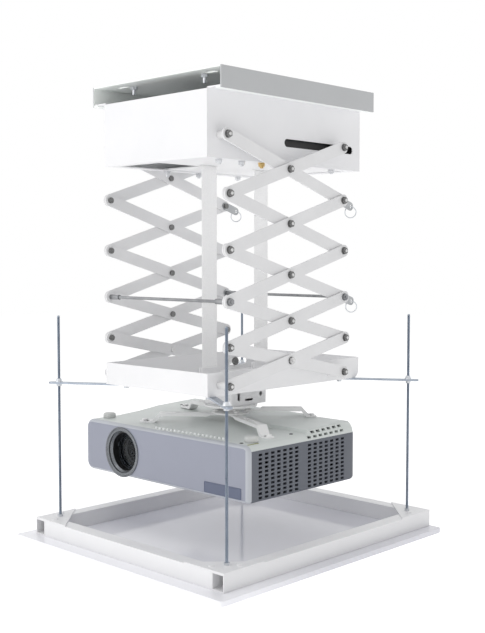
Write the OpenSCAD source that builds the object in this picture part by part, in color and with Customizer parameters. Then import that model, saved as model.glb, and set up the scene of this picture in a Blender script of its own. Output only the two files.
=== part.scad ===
// Motorised scissor lift that lowers a projector out of a ceiling.
// The origin is the middle of the ceiling plate's upper face, +Z is up,
// -Y is the front with the lens, and the lift is drawn lowered.

/* [Ceiling plate] */
// Overhang of the ceiling plate beyond each side of the housing
plate_over = 29.9; // [24:0.1:40]
// How much shorter the ceiling plate is than the housing
plate_short = 1; // [0:0.5:4]
// Thickness of the ceiling plate
plate_t = 2.5; // [2:0.1:4]
// Depth of the side flanges, plate included
flange_h = 33; // [20:1:50]
// Width of the inward lip under each flange
flange_lip = 12; // [6:0.5:14]
// Distance of the ceiling slots' middles from the plate's sides
slot_in_x = 47.4; // [40:0.1:60]
// Distance of the ceiling slots' middles from the plate's front and rear
slot_in_y = 24.8; // [18:0.1:40]
// Length of each ceiling slot from end to end
slot_len = 27; // [15:1:40]
// Width of each ceiling slot
slot_w = 9; // [6:0.5:12]
// Distance of the plate bolts from the plate's sides
bolt_in_x = 68.4; // [66:0.1:80]
// Distance of the plate bolts from the plate's front and rear
bolt_in_y = 31.8; // [24:0.1:50]

/* [Housing] */
// Width of the housing from side to side
house_w = 245; // [235:1:260]
// Distance of the fixed front pivots from the housing's and the tray's front
pivot_in = 24.8; // [20:0.1:34]
// Room behind the level bars' rear pivots in the housing and the tray
rear_room = 58.6; // [50:0.1:90]
// Thickness of the housing's folded sheet
sheet_t = 2; // [1.5:0.1:3]
// Depth of the housing's lower edge below the ceiling
house_depth = 133; // [125:1:150]
// Gap between the ceiling and the front panel's upper edge
top_gap = 31; // [26:1:36]
// Width of the side panels' lower inward lip
bottom_lip = 17; // [14:0.5:24]
// Length of the guide slot in each side panel
guide_len = 177; // [150:1:182]
// Distance of the guide slot's rear end from the housing's rear
guide_in = 20.3; // [16:0.1:24]
// Height of the guide slots
guide_h = 13; // [12.6:0.1:16]

/* [Scissors] */
// Distance between the end holes of a scissor bar
bar_len = 287.2; // [270:0.2:290]
// Width of a scissor bar
bar_w = 20; // [16:0.5:21]
// Thickness of a scissor bar
bar_t = 3; // [2:0.1:4]
// Gap between the inner and outer bars of a side
layer_gap = 0.5; // [0.3:0.1:1.5]
// Clear distance between the housing's side and the inner bars
side_gap = 16; // [12:0.5:24]
// Depth of the upper pivots below the ceiling
pivot_depth = 98.3; // [85:0.1:105]
// Angle of the first stage's bars to the level
stage_1_angle = 17.98; // [14:0.01:19]
// Angle of the second stage's bars to the level
stage_2_angle = 17.158; // [14:0.01:18.5]
// Angle of the third stage's bars to the level
stage_3_angle = 15.836; // [13:0.01:17]
// Angle of the fourth stage's bars to the level
stage_4_angle = 13.955; // [12:0.01:15]
// Angle of the fifth stage's bars to the level
stage_5_angle = 11.886; // [10:0.01:13]
// Radius of the pivot bolts
pin_r = 2.5; // [2:0.1:3]
// Width across flats of the pivot nuts
nut_af = 10; // [8:0.5:11]
// Play of the middle pivots
centre_play = 0.65; // [0.5:0.05:1]
// Play of the rear pivots
rear_play = 0.95; // [0.8:0.05:1.2]
// Length of the slide in each rear pivot hole
rear_slide = 2.4; // [2.4:0.1:3]

/* [Ring tabs] */
// Length of a ring tab beyond its pivot
tab_len = 36; // [28:0.5:40]
// Width of a ring tab
tab_w = 14.5; // [12:0.5:18]
// Thickness of a ring tab
tab_t = 2; // [1.5:0.1:3]
// Radius of a ring to the middle of its wire
ring_r = 9.5; // [8.5:0.5:11]
// Thickness of the ring's wire
ring_wire = 1.8; // [1.2:0.1:2.2]

/* [Motor and belts] */
// Radius of the belt drum's tube
drum_r = 25; // [24:0.5:27]
// Radius of the spool flanges on the drum
spool_r = 34; // [31:0.5:36]
// Depth of the drum's axis below the ceiling
drum_depth = 82; // [76:0.5:88]
// Width of a lifting belt
belt_w = 35; // [30:0.5:38]
// Thickness of a lifting belt
belt_t = 1.2; // [1:0.1:1.6]
// Distance between the middles of the two belts
belt_pitch = 126; // [110:1:150]
// Depth of the wound belt on the drum
belt_roll = 2; // [1:0.5:4]
// Radius of the tubular motor
motor_r = 20; // [17:0.5:21]

/* [Tray] */
// Height of the tray's walls
tray_h = 36.2; // [32:0.2:44]
// Distance of the tray's floor below the lower pivots
tray_drop = 16.4; // [15:0.1:20]
// Radius of the tray's rolled rear edge
tray_bend = 14; // [8:0.5:20]
// Length of the neck box from side to side
neck_w = 65; // [60:1:80]
// Length of the neck box from front to back
neck_len = 83; // [76:1:100]
// Height of the neck box
neck_h = 38.5; // [34:0.5:42]

/* [Projector mount] */
// Radius of the mount's round hub
hub_r = 46; // [36:0.5:50]
// Thickness of the mount's plates
mount_t = 3; // [2.5:0.1:4]
// Width of a mount arm
arm_w = 17; // [12:0.5:20]
// Distance from the hub's face down to the spider plate
mount_drop = 10; // [10:0.5:12]
// Right front foot of the mount, to the right of the hub
right_front_foot_x = 150; // [140:1:152]
// Right front foot of the mount, in front of the hub
right_front_foot_y = 66; // [50:1:80]
// Right rear foot of the mount, to the right of the hub
right_rear_foot_x = 96; // [80:1:110]
// Right rear foot of the mount, behind the hub
right_rear_foot_y = 100; // [80:1:104]
// Left front foot of the mount, to the left of the hub
left_front_foot_x = 112; // [90:1:130]
// Left front foot of the mount, in front of the hub
left_front_foot_y = 98; // [80:1:110]
// Left rear foot of the mount, to the left of the hub
left_rear_foot_x = 142; // [120:1:160]
// Left rear foot of the mount, behind the hub
left_rear_foot_y = 66; // [50:1:80]
// Height of the bend from the arms down to the feet
arm_bend = 14.1; // [12:0.1:20]

/* [Projector] */
// Width of the projector
case_w = 397.4; // [360:0.2:420]
// Depth of the projector from front to back
case_d = 263; // [240:1:280]
// Height of the projector
case_h = 88.8; // [80:0.2:96]
// Distance of the projector's middle to the left of the lift's middle
case_left = 20; // [0:1:30]
// Distance of the projector's middle in front of the lift's middle
case_front = 23.5; // [10:0.5:30]
// Radius of the projector's left edges and of its rear edges
case_round = 15; // [8:0.5:20]
// Radius of the projector's other edges
case_edge = 4; // [3.5:0.1:6]
// Thickness of the projector's shell
case_t = 3; // [2.5:0.1:4]
// Radius of the lens opening's outer ring
lens_ring_r = 42.8; // [38:0.2:43.5]
// Radius of the front glass
lens_glass_r = 32; // [26:0.5:33]
// Distance of the lens to the left of the lift's middle
lens_left = 119; // [100:1:150]
// Columns of vent holes in each block
vent_columns = 7; // [3:1:9]
// Rows of vent holes
vent_rows = 11; // [5:1:11]

/* [Closure] */
// Distance of the threaded rods from the closure frame's sides
rod_in_x = 26; // [22:0.5:34]
// Distance of the threaded rods from the closure frame's front and rear
rod_in_y = 31.8; // [28:0.1:40]
// Length of the threaded rods
rod_len = 347.3; // [300:1:400]
// Radius of the threaded rods
rod_r = 2.5; // [2:0.1:4]
// Length of the rods below the corner arms
rod_drop = 230.9; // [220:0.1:280]
// Width of the closure frame
frame_w = 456; // [440:1:480]
// Length of the closure frame
frame_len = 511.6; // [500:1:530]
// Width of the closure frame's tube
tube_w = 25; // [20:0.5:30]
// Height of the closure frame's tube
tube_h = 26.6; // [20:0.2:32]
// Wall of the closure frame's tube
tube_t = 2; // [1.2:0.1:3]
// Length of a corner gusset's two straight sides
gusset_leg = 83; // [78:1:100]
// Overhang of the closure panel beyond the frame's sides
panel_over_x = 22; // [12:0.5:60]
// Overhang of the closure panel beyond the frame's ends, taken together
panel_over_y = 30.4; // [24:0.1:80]
// Thickness of the closure panel
panel_t = 8.5; // [6:0.5:16]
// Distance of the closure panel's middle in front of the lift's middle
panel_front = 11.2; // [0:0.1:12]

/* [Hidden] */

// Smoothness of the round parts
$fn = 48;
// Overrun of every cut beyond the face that it goes through
over = 1;
// Radial clearance of a bolt in the bar that turns on it
run_clear = 0.05;
// Side clearance between pieces that turn against each other
side_clear = 0.2;
// Gap between plates that are bolted together
seat_gap = 0.1;
// Clearance between a belt and what holds or winds it
belt_clear = 0.1;
// Thickness of a pivot bolt's head
head_t = 3;
// Thickness of a pivot nut
nut_t = 4;
// Radius of a pivot washer
washer_r = 6.2;
// Thickness of a pivot washer
washer_t = 0.8;
// Length of a bolt's tip beyond its nut
tip_len = 1.5;
// Radius of the white spacers beside the housing and the tray
spacer_r = 5.8;
// Radius of the sleeves on the tie rods
sleeve_r = 4.2;
// Length of the sleeves on the tie rods
sleeve_len = 22;
// Radius of the roller on a slide pin
roller_r = 5.8;
// Radius of the cap that keeps a slide pin in its slot
cap_r = 7.4;
// Thickness of the cap on a slide pin
cap_t = 3;
// Distance of the mount's hub in front of the lift's middle
hub_front = 12;
// Sides of the small round parts
small_sides = 24;
// Length of the tray's guide slot
tray_guide_len = 60;
// Distance of the tray's guide slot from the tray's rear
tray_guide_rear = 32;

house_len = pivot_in + bar_len + rear_room;
house_end = house_len / 2;
pivot_front = house_end - pivot_in;
plate_w = house_w + 2 * plate_over;
plate_len = house_len - plate_short;
slot_x = plate_w / 2 - slot_in_x;
slot_y = plate_len / 2 - slot_in_y;
plate_bolt_x = plate_w / 2 - bolt_in_x;
plate_bolt_y = plate_len / 2 - bolt_in_y;
rod_x = frame_w / 2 - rod_in_x;
rod_y = frame_len / 2 - rod_in_y;

stage_angle = [stage_1_angle, stage_2_angle, stage_3_angle, stage_4_angle, stage_5_angle];
stages = len(stage_angle);
// Height of the fixed front pivot under stage k, and of the rear pivot beside it
function pivot_z(k) = k == 0 ? -pivot_depth : pivot_z(k - 1) - bar_len * sin(stage_angle[k - 1]);
// Place of the rear pivot at the lower end of stage k, front to back
function rear_y(k) = -pivot_front + bar_len * cos(stage_angle[max(k, 1) - 1]);

wall_x = house_w / 2;
inner_x = wall_x + side_gap;
outer_x = inner_x + bar_t + layer_gap;
tray_floor = pivot_z(stages) - tray_drop;
neck_bottom = tray_floor - neck_h;
hub_y = -hub_front;
spider_top = neck_bottom - side_clear - mount_t - mount_drop;
arm_top = spider_top - mount_t - seat_gap;
case_top = arm_top - mount_t - arm_bend;
case_x = -case_left;
case_y = -case_front;
case_front_y = case_y - case_d / 2;
lens_z = case_top - case_h / 2 - case_t;
arm_z = tray_floor - mount_t;
rod_bottom = arm_z - rod_drop;
panel_top = rod_bottom - tube_h;
drum_x = -drum_r - belt_roll;

// Something drawn on the right side and mirrored onto the left
module both_sides() {
  children();
  mirror([1, 0, 0]) children();
}

// Something drawn in one corner and mirrored into all four
module four_corners() {
  both_sides() {
    children();
    mirror([0, 1, 0]) children();
  }
}

// A flat shape stood upright in a side plane and raised towards +X
module side_plate(x, t) {
  translate([x, 0, 0]) rotate([90, 0, 90]) linear_extrude(t) children();
}

// A round bar along X
module along_x(x_from, x_to, r) {
  translate([x_from, 0, 0]) rotate([0, 90, 0]) cylinder(h = x_to - x_from, r = r);
}

// A round bar along Y
module along_y(y_from, y_to, r) {
  translate([0, y_from, 0]) rotate([-90, 0, 0]) cylinder(h = y_to - y_from, r = r);
}

// A hexagon along X, measured across its flats
module hex_x(x_from, x_to, af) {
  translate([x_from, 0, 0]) rotate([0, 90, 0]) cylinder(h = x_to - x_from, r = af / 2 / cos(30), $fn = 6);
}

// An upright hexagonal nut with a hole
module nut_z(z_from, t, af, hole_r) {
  translate([0, 0, z_from]) difference() {
    cylinder(h = t, r = af / 2 / cos(30), $fn = 6);
    translate([0, 0, -over]) cylinder(h = t + 2 * over, r = hole_r);
  }
}

// The outline of a slot with round ends
module slot_outline(length, width) {
  square([length - width, width], center = true);
  for (s = [-1, 1]) translate([s * (length - width) / 2, 0]) circle(d = width);
}

// A rectangle with round corners
module round_rectangle(w, d, r) {
  square([w - 2 * r, d], center = true);
  square([w, d - 2 * r], center = true);
  for (sx = [-1, 1], sy = [-1, 1]) translate([sx * (w / 2 - r), sy * (d / 2 - r)]) circle(r = r);
}

// Ceiling plate

// Folded channel with four slots for the ceiling anchors
module ceiling_plate() color("gainsboro") {
  difference() {
    union() {
      translate([-plate_w / 2, -plate_len / 2, -plate_t]) cube([plate_w, plate_len, plate_t]);
      both_sides() {
        translate([plate_w / 2 - plate_t, -plate_len / 2, -flange_h])
          cube([plate_t, plate_len, flange_h]);
        translate([plate_w / 2 - flange_lip, -plate_len / 2, -flange_h])
          cube([flange_lip, plate_len, plate_t]);
      }
    }
    four_corners() {
      translate([slot_x, slot_y, -plate_t - over])
        linear_extrude(plate_t + 2 * over) slot_outline(slot_len, slot_w);
      plate_bolt_place() translate([0, 0, -plate_t - over])
        cylinder(h = plate_t + 2 * over, r = plate_bolt_r + run_clear);
    }
  }
}

// Radius of the plate bolts
plate_bolt_r = 3;
// Reach of the plate bolts below the ceiling
plate_bolt_len = 16;
// Width across flats of the plate bolts' nuts
plate_nut_af = 10;
// Thickness of the plate bolts' nuts
plate_nut_t = 5;

module plate_bolt_place() {
  translate([plate_bolt_x, plate_bolt_y, 0]) children();
}

// Bolts with nuts under the ceiling plate
module plate_bolts() color("dimgray") four_corners() plate_bolt_place() {
  translate([0, 0, -plate_bolt_len]) cylinder(h = plate_bolt_len, r = plate_bolt_r);
  nut_z(-plate_t - plate_nut_t, plate_nut_t, plate_nut_af, plate_bolt_r - run_clear);
}

// Housing

module end_panel() {
  panel_h = house_depth - top_gap;
  translate([-wall_x, -house_end, -house_depth]) cube([house_w, sheet_t, panel_h]);
  translate([-wall_x + sheet_t + bottom_lip, -house_end, -house_depth])
    cube([house_w - 2 * (sheet_t + bottom_lip), bottom_lip, sheet_t]);
}

// Bare front panel with a folded lower edge
module housing_front_panel() color("white") end_panel();

module housing_rear_panel() color("gainsboro") mirror([0, 1, 0]) end_panel();

// Side panel with its pivot hole and guide slot, folded in at the bottom and out at the top,
// where it rests on the ceiling plate's lip
module side_panel() {
  length = house_len - 2 * sheet_t;
  top = -flange_h + plate_t + sheet_t;
  difference() {
    translate([wall_x - sheet_t, -length / 2, -house_depth]) cube([sheet_t, length, house_depth + top]);
    translate([0, -pivot_front, -pivot_depth]) along_x(wall_x - sheet_t - over, wall_x + over, pin_r + run_clear);
    guide_middle = house_end - guide_in - guide_len / 2;
    side_plate(wall_x - sheet_t - over, sheet_t + 2 * over)
      translate([guide_middle, -pivot_depth]) slot_outline(guide_len, guide_h);
  }
  translate([wall_x - sheet_t - bottom_lip, -length / 2, -house_depth])
    cube([bottom_lip + sheet_t, length, sheet_t]);
  translate([wall_x - sheet_t, -length / 2, top - sheet_t])
    cube([plate_w / 2 - plate_t - side_clear - wall_x + sheet_t, length, sheet_t]);
}

module housing_right_panel() color("lightgray") side_panel();

module housing_left_panel() color("lightgray") mirror([1, 0, 0]) side_panel();

// Front corner of the chassis plate that is left open, from the middle and from the front
open_x = -20;
open_len = 123;
// Size of the slots that the belts pass through
belt_slot_len = 44;
belt_slot_w = 9;

// Level plate across the side panels' lower lips
module chassis_plate() color("gainsboro") {
  half_w = wall_x - sheet_t - side_clear;
  half_len = house_end - sheet_t - side_clear;
  translate([0, 0, -house_depth + sheet_t]) linear_extrude(sheet_t) difference() {
    polygon([
      [-half_w, -half_len + open_len], [open_x, -half_len + open_len], [open_x, -half_len],
      [half_w, -half_len], [half_w, half_len], [-half_w, half_len]
    ]);
    for (s = [-1, 1]) translate([0, s * belt_pitch / 2]) rotate(90) slot_outline(belt_slot_len, belt_slot_w);
    chassis_screw_places() circle(r = chassis_screw_r);
  }
}

// Radius of the chassis screws, and radius and height of their heads
chassis_screw_r = 2;
chassis_head_r = 4.2;
chassis_head_t = 2.6;
// Places of the chassis screws, front to back, as shares of the housing's length
chassis_screw_shares = [-0.405, -0.27, -0.148, 0.054, 0.324];

module chassis_screw_places() {
  for (share = chassis_screw_shares) {
    y = share * house_len;
    translate([wall_x - bottom_lip / 2 - sheet_t, y]) children();
    if (y > -open_len / 2) translate([-wall_x + bottom_lip / 2 + sheet_t, y]) children();
  }
}

// Screws with their heads under the lips
module chassis_screws() color("silver") chassis_screw_places() {
  translate([0, 0, -house_depth - chassis_head_t]) cylinder(h = chassis_head_t, r = chassis_head_r);
  translate([0, 0, -house_depth + sheet_t]) cylinder(h = sheet_t, r = chassis_screw_r);
}

// Motor and drum

// Width and height of the motor brackets, and their thickness
bracket_w = 64;
bracket_h = 70;
bracket_t = 4;
// Radius of the drum's front journal
journal_r = 6;
// Half the square pin on the motor's head
motor_pin = 5;
// Length and radius of the motor's fixed head
motor_head_len = 18;
motor_head_r = 26;

// Upright plates that hold the drum's journal and the motor's square pin
module motor_brackets() color("silver") {
  inside = house_end - sheet_t;
  translate([drum_x, 0, -drum_depth]) {
    difference() {
      translate([-bracket_w / 2, -inside, -bracket_h / 2]) cube([bracket_w, bracket_t, bracket_h]);
      along_y(-inside - over, -inside + bracket_t + over, journal_r + run_clear);
    }
    difference() {
      translate([-bracket_w / 2, inside - bracket_t, -bracket_h / 2]) cube([bracket_w, bracket_t, bracket_h]);
      translate([-motor_pin, inside - bracket_t - over, -motor_pin])
        cube([2 * motor_pin, bracket_t + 2 * over, 2 * motor_pin]);
    }
  }
}

// Tubular motor inside the drum, with its crown, fixed head and square pin
module tubular_motor() color("dimgray") {
  inside = house_end - sheet_t;
  head_y = inside - bracket_t - motor_head_len;
  translate([drum_x, 0, -drum_depth]) {
    along_y(-belt_pitch / 2, head_y, motor_r);
    along_y(head_y - motor_head_len, head_y - side_clear, drum_r - drum_t - run_clear);
    along_y(head_y + side_clear, inside - bracket_t, motor_head_r);
    translate([-motor_pin, inside - bracket_t - over, -motor_pin])
      cube([2 * motor_pin, bracket_t + over, 2 * motor_pin]);
    along_y(head_y - over, head_y + 2 * side_clear, motor_r);
  }
}

// Wall of the drum's tube
drum_t = 2;
// Thickness of the spool flanges
spool_t = 2;
// Side play of a belt between its spool flanges
spool_play = 1;

// Tube that winds both belts, with its spool flanges and front journal
module belt_drum() color("silver") {
  inside = house_end - sheet_t;
  drum_end = inside - bracket_t - motor_head_len - side_clear;
  front = -inside + bracket_t + motor_head_len;
  translate([drum_x, 0, -drum_depth]) {
    difference() {
      along_y(front, drum_end, drum_r);
      along_y(front + drum_t, drum_end + over, drum_r - drum_t);
    }
    along_y(-inside + over, front, journal_r);
    for (s = [-1, 1]) translate([0, s * belt_pitch / 2, 0]) {
      difference() {
        along_y(-belt_w / 2, belt_w / 2, drum_r + belt_roll - belt_clear);
        along_y(-belt_w / 2 - over, belt_w / 2 + over, drum_r);
      }
      for (e = [-1, 1]) translate([0, e * (belt_w / 2 + spool_play + spool_t / 2), 0]) difference() {
        along_y(-spool_t / 2, spool_t / 2, spool_r);
        along_y(-spool_t / 2 - over, spool_t / 2 + over, drum_r);
      }
    }
  }
}

// Height of the belts' lower ends above the tray's floor
belt_tail = 4;

module belt(s) {
  bottom = tray_floor + sheet_t + belt_tail;
  translate([0, s * belt_pitch / 2 - belt_w / 2, bottom]) cube([belt_t, belt_w, -drum_depth - bottom]);
}

module front_belt() color("whitesmoke") belt(-1);

module rear_belt() color("whitesmoke") belt(1);

// Size of the control box, and its distance from the housing's right wall
box_w = 44;
box_len = 130;
box_h = 40;
box_wall_gap = 14.5;
box_x = wall_x - sheet_t - box_wall_gap - box_w;

// Receiver and wiring box on the chassis plate
module control_box() color("ivory") {
  translate([box_x, 0, -house_depth + 2 * sheet_t]) cube([box_w, box_len, box_h]);
}

// Scissors

// A flat bar with round ends, from its first hole along +X
module bar_outline() {
  translate([0, -bar_w / 2]) square([bar_len, bar_w]);
  circle(d = bar_w);
  translate([bar_len, 0]) circle(d = bar_w);
}

// Inner pair of bars that falls from the front pivot of level k - 1
module falling_bars(k) color("lightgray") both_sides()
  translate([0, -pivot_front, pivot_z(k - 1)]) side_plate(inner_x, bar_t) rotate(-stage_angle[k - 1])
    difference() {
      bar_outline();
      circle(r = pin_r + run_clear);
      translate([bar_len / 2, 0]) circle(r = pin_r + run_clear);
      translate([bar_len, 0]) circle(r = pin_r + run_clear);
    }

// Outer pair of bars that rises from the front pivot of level k
module rising_bars(k) color("gainsboro") both_sides()
  translate([0, -pivot_front, pivot_z(k)]) side_plate(outer_x, bar_t) rotate(stage_angle[k - 1])
    difference() {
      bar_outline();
      circle(r = pin_r + run_clear);
      translate([bar_len / 2, 0]) circle(r = pin_r + centre_play);
      if (k == 1)
        translate([bar_len, 0]) circle(r = pin_r + run_clear);
      else
        translate([bar_len - rear_slide / 2, 0])
          slot_outline(rear_slide + 2 * (pin_r + rear_play), 2 * (pin_r + rear_play));
    }

module falling_bars_1() falling_bars(1);
module falling_bars_2() falling_bars(2);
module falling_bars_3() falling_bars(3);
module falling_bars_4() falling_bars(4);
module falling_bars_5() falling_bars(5);
module rising_bars_1() rising_bars(1);
module rising_bars_2() rising_bars(2);
module rising_bars_3() rising_bars(3);
module rising_bars_4() rising_bars(4);
module rising_bars_5() rising_bars(5);

// Washer, nut and bolt tip on the outside, from the face at x
module nut_end(x) {
  along_x(x, x + washer_t, washer_r);
  hex_x(x + washer_t, x + washer_t + nut_t, nut_af);
  along_x(x, x + washer_t + nut_t + tip_len, pin_r);
}

// Pivot bolt through both bars, with pack of other pieces under its head
module pivot_bolt(pack) {
  under = inner_x - pack;
  outside = outer_x + bar_t + side_clear;
  along_x(under - side_clear - head_t, under - side_clear, nut_af / 2);
  along_x(under - side_clear, outside, pin_r);
  nut_end(outside);
}

module level_bolts(k) color("dimgray") both_sides()
  translate([0, -pivot_front, pivot_z(k)]) pivot_bolt(0);

module level_1_bolts() level_bolts(1);
module level_2_bolts() level_bolts(2);
module level_4_bolts() level_bolts(4);

// Middle pivot bolts of a stage
module centre_bolts(k) color("dimgray") both_sides()
  translate([0, -pivot_front, pivot_z(k - 1)]) rotate([-stage_angle[k - 1], 0, 0])
    translate([0, bar_len / 2, 0]) pivot_bolt(0);

// Rear pivot bolts at the lower end of a stage
module rear_bolts(k, pack) color("dimgray") both_sides()
  translate([0, rear_y(k), pivot_z(k)]) pivot_bolt(pack);

module stage_1_bolts() {
  centre_bolts(1);
  rear_bolts(1, tab_t);
}

module stage_2_bolts() {
  centre_bolts(2);
  rear_bolts(2, 0);
}

module stage_3_bolts() centre_bolts(3);

module stage_4_bolts() {
  centre_bolts(4);
  rear_bolts(4, 0);
}

// The fifth stage's rear bolts carry the rollers in the tray's guide slots
module stage_5_bolts() {
  centre_bolts(5);
  color("dimgray") both_sides() translate([0, rear_y(5), pivot_z(5)]) {
    nut_end(inner_x + bar_t + side_clear);
    along_x(inner_x - side_clear, inner_x + bar_t + side_clear, pin_r);
    slide_end(inner_x - side_clear);
  }
}

// Spacer, roller and cap of a slide pin, inwards from the bar's face at x
module slide_end(x) {
  along_x(wall_x + side_clear, x, spacer_r);
  along_x(wall_x - sheet_t - side_clear, wall_x + side_clear, roller_r);
  along_x(wall_x - sheet_t - side_clear - cap_t, wall_x - sheet_t - side_clear, cap_r);
}

// Slide pins at the top of the first rising bars
module upper_slide_pins() color("dimgray") both_sides() translate([0, rear_y(0), -pivot_depth]) {
  nut_end(outer_x + bar_t + side_clear);
  along_x(outer_x - side_clear, outer_x + bar_t + side_clear, pin_r);
  slide_end(outer_x - side_clear);
}

// Fixed pivot bolt from inside a wall, with a spacer up to the bar's face at x
module wall_bolt(x) {
  along_x(wall_x - sheet_t - head_t, wall_x - sheet_t, nut_af / 2);
  along_x(wall_x - sheet_t, x + bar_t + side_clear, pin_r);
  along_x(wall_x, x - side_clear, spacer_r);
  nut_end(x + bar_t + side_clear);
}

module upper_pivot_bolts() color("dimgray") both_sides()
  translate([0, -pivot_front, -pivot_depth]) wall_bolt(inner_x);

module lower_pivot_bolts() color("dimgray") both_sides()
  translate([0, -pivot_front, pivot_z(stages)]) wall_bolt(outer_x);

// Rod that joins the two sides through a pair of pivots
module tie_rod(pack) {
  under = inner_x - pack - side_clear;
  outside = outer_x + bar_t + side_clear;
  along_x(-outside, outside, pin_r);
  both_sides() {
    along_x(under - sleeve_len, under, sleeve_r);
    nut_end(outside);
  }
}

module near_tie_rod() color("darkgray") translate([0, -pivot_front, pivot_z(3)]) tie_rod(0);

module far_tie_rod() color("darkgray") translate([0, rear_y(3), pivot_z(3)]) tie_rod(tab_t);

// Distance of a ring tab's hole from the tab's end, and the radius of the hole
tab_edge = 6;
tab_hole_r = 3;

// Tabs that continue stage k's falling bars and carry the rings
module ring_tabs(k) color("slategray") both_sides()
  translate([0, -pivot_front, pivot_z(k - 1)]) side_plate(inner_x - tab_t, tab_t)
    rotate(-stage_angle[k - 1]) translate([bar_len, 0]) difference() {
      union() {
        translate([0, -tab_w / 2]) square([tab_len - tab_w / 2, tab_w]);
        circle(d = tab_w);
        translate([tab_len - tab_w / 2, 0]) circle(d = tab_w);
      }
      circle(r = pin_r + run_clear);
      translate([tab_len - tab_edge, 0]) circle(r = tab_hole_r);
    }

module upper_ring_tabs() ring_tabs(1);
module lower_ring_tabs() ring_tabs(3);

// Direction that the rings face
ring_turn = 45;

// Rings that hang in the tabs' holes
module rings(k) color("silver") {
  reach = bar_len + tab_len - tab_edge;
  for (s = [-1, 1]) translate([
    s * (inner_x - tab_t / 2),
    -pivot_front + reach * cos(stage_angle[k - 1]),
    pivot_z(k - 1) - reach * sin(stage_angle[k - 1]) - ring_r
  ]) rotate([0, 0, ring_turn]) rotate([90, 0, 0])
    rotate_extrude() translate([ring_r, 0]) circle(d = ring_wire, $fn = small_sides);
}

module upper_rings() rings(1);
module lower_rings() rings(3);

// Tray

// The tray's side outline with its rolled rear edge, drawn in from the outside by t
module tray_outline(t) {
  r = tray_bend - t;
  front = -house_end + t;
  rear = house_end - t;
  translate([front, tray_floor + t]) square([rear - r - front, tray_h - t]);
  translate([front, tray_floor + t + r]) square([rear - front, tray_h - t - r]);
  translate([rear - r, tray_floor + t + r]) circle(r = r);
}

// Radius of the bolts under the tray that hold the corner arms
arm_bolt_r = 3;
// Distances of those bolts from the tray's sides and from its front and rear
arm_bolt_in_x = 22.5;
arm_bolt_in_y = 25.3;
arm_bolt_x = wall_x - arm_bolt_in_x;
arm_bolt_y = house_end - arm_bolt_in_y;
// Radius of the neck's screws, and their place inside the neck's corners
neck_screw_r = 2.5;
neck_screw_in = 8;

// Open tray with guide slots and pivot holes in its side walls
module tray() color("gainsboro") difference() {
  union() {
    side_plate(-wall_x + sheet_t, house_w - 2 * sheet_t) difference() {
      tray_outline(0);
      tray_outline(sheet_t);
      translate([-house_end + sheet_t, tray_floor + tray_h - over]) square([house_len - 2 * sheet_t, 2 * over]);
    }
    both_sides() side_plate(wall_x - sheet_t, sheet_t) difference() {
      tray_outline(0);
      translate([-pivot_front, pivot_z(stages)]) circle(r = pin_r + run_clear);
      translate([house_end - tray_guide_rear - tray_guide_len / 2, pivot_z(stages)])
        slot_outline(tray_guide_len, guide_h);
    }
  }
  four_corners() {
    translate([arm_bolt_x, arm_bolt_y, tray_floor - over])
      cylinder(h = sheet_t + 2 * over, r = arm_bolt_r + run_clear);
    translate([neck_w / 2 - neck_screw_in, neck_len / 2 - neck_screw_in, tray_floor - over])
      cylinder(h = sheet_t + 2 * over, r = neck_screw_r + run_clear);
  }
}

// Height and thickness of the belt clamp plates
clamp_h = 26;
clamp_t = 3;
// Width of the clamps' feet and overlap of the clamps past the belt
clamp_foot = 22;
clamp_side = 3;

// Pairs of angles that grip the belts' lower ends
module belt_clamps() color("whitesmoke") {
  length = belt_w + 2 * clamp_side;
  for (s = [-1, 1]) translate([0, s * belt_pitch / 2 - length / 2, tray_floor + sheet_t]) {
    translate([-belt_clear - clamp_t, 0, 0]) cube([clamp_t, length, clamp_h]);
    translate([-belt_clear - clamp_foot, 0, 0]) cube([clamp_foot, length, clamp_t]);
    translate([belt_t + belt_clear, 0, 0]) cube([clamp_t, length, clamp_h]);
    translate([belt_t + belt_clear, 0, 0]) cube([clamp_foot, length, clamp_t]);
  }
}

// Wall of the neck box
neck_t = 2.5;
// Radius of the swivel bolt in the neck's floor
swivel_r = 6;
// Width of the lip that carries the neck's screws
neck_lip = 16;
// Upright slot, level slot and hole in each side of the neck, as shares of its length and height
neck_upright_share = 0.3;
neck_upright_len_share = 0.42;
neck_upright_w_share = 0.17;
neck_middle_share = 0.58;
neck_level_share = 0.78;
neck_level_len_share = 0.24;
neck_level_w_share = 0.1;
neck_hole_share = 0.35;
neck_hole_r_share = 0.1;

// Folded box under the tray with slots in its sides
module neck_box() color("whitesmoke") difference() {
  translate([-neck_w / 2, -neck_len / 2, neck_bottom]) cube([neck_w, neck_len, neck_h]);
  translate([-neck_w / 2 + neck_t, -neck_len / 2 + neck_t, neck_bottom + neck_t])
    cube([neck_w - 2 * neck_t, neck_len - 2 * neck_t, neck_h - 2 * neck_t]);
  translate([-neck_w / 2 + neck_lip, -neck_len / 2 + neck_lip, neck_bottom + neck_t])
    cube([neck_w - 2 * neck_lip, neck_len - 2 * neck_lip, neck_h]);
  translate([0, hub_y, neck_bottom - over]) cylinder(h = neck_t + 2 * over, r = swivel_r + run_clear);
  four_corners() translate([neck_w / 2 - neck_screw_in, neck_len / 2 - neck_screw_in, tray_floor - neck_t - over])
    cylinder(h = neck_t + 2 * over, r = neck_screw_r + run_clear);
  side_plate(-neck_w / 2 - over, neck_w + 2 * over) {
    middle = tray_floor - neck_h * neck_middle_share;
    translate([-neck_len * neck_upright_share, middle]) rotate(90)
      slot_outline(neck_h * neck_upright_len_share, neck_h * neck_upright_w_share);
    translate([0, tray_floor - neck_h * neck_level_share])
      slot_outline(neck_len * neck_level_len_share, neck_h * neck_level_w_share);
    translate([neck_len * neck_hole_share, middle]) circle(r = neck_h * neck_hole_r_share);
  }
}

// Corner arms, rods and closure

// Width of a corner arm, and its length beyond the rod
corner_arm_w = 12;
corner_arm_over = 12;

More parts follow.
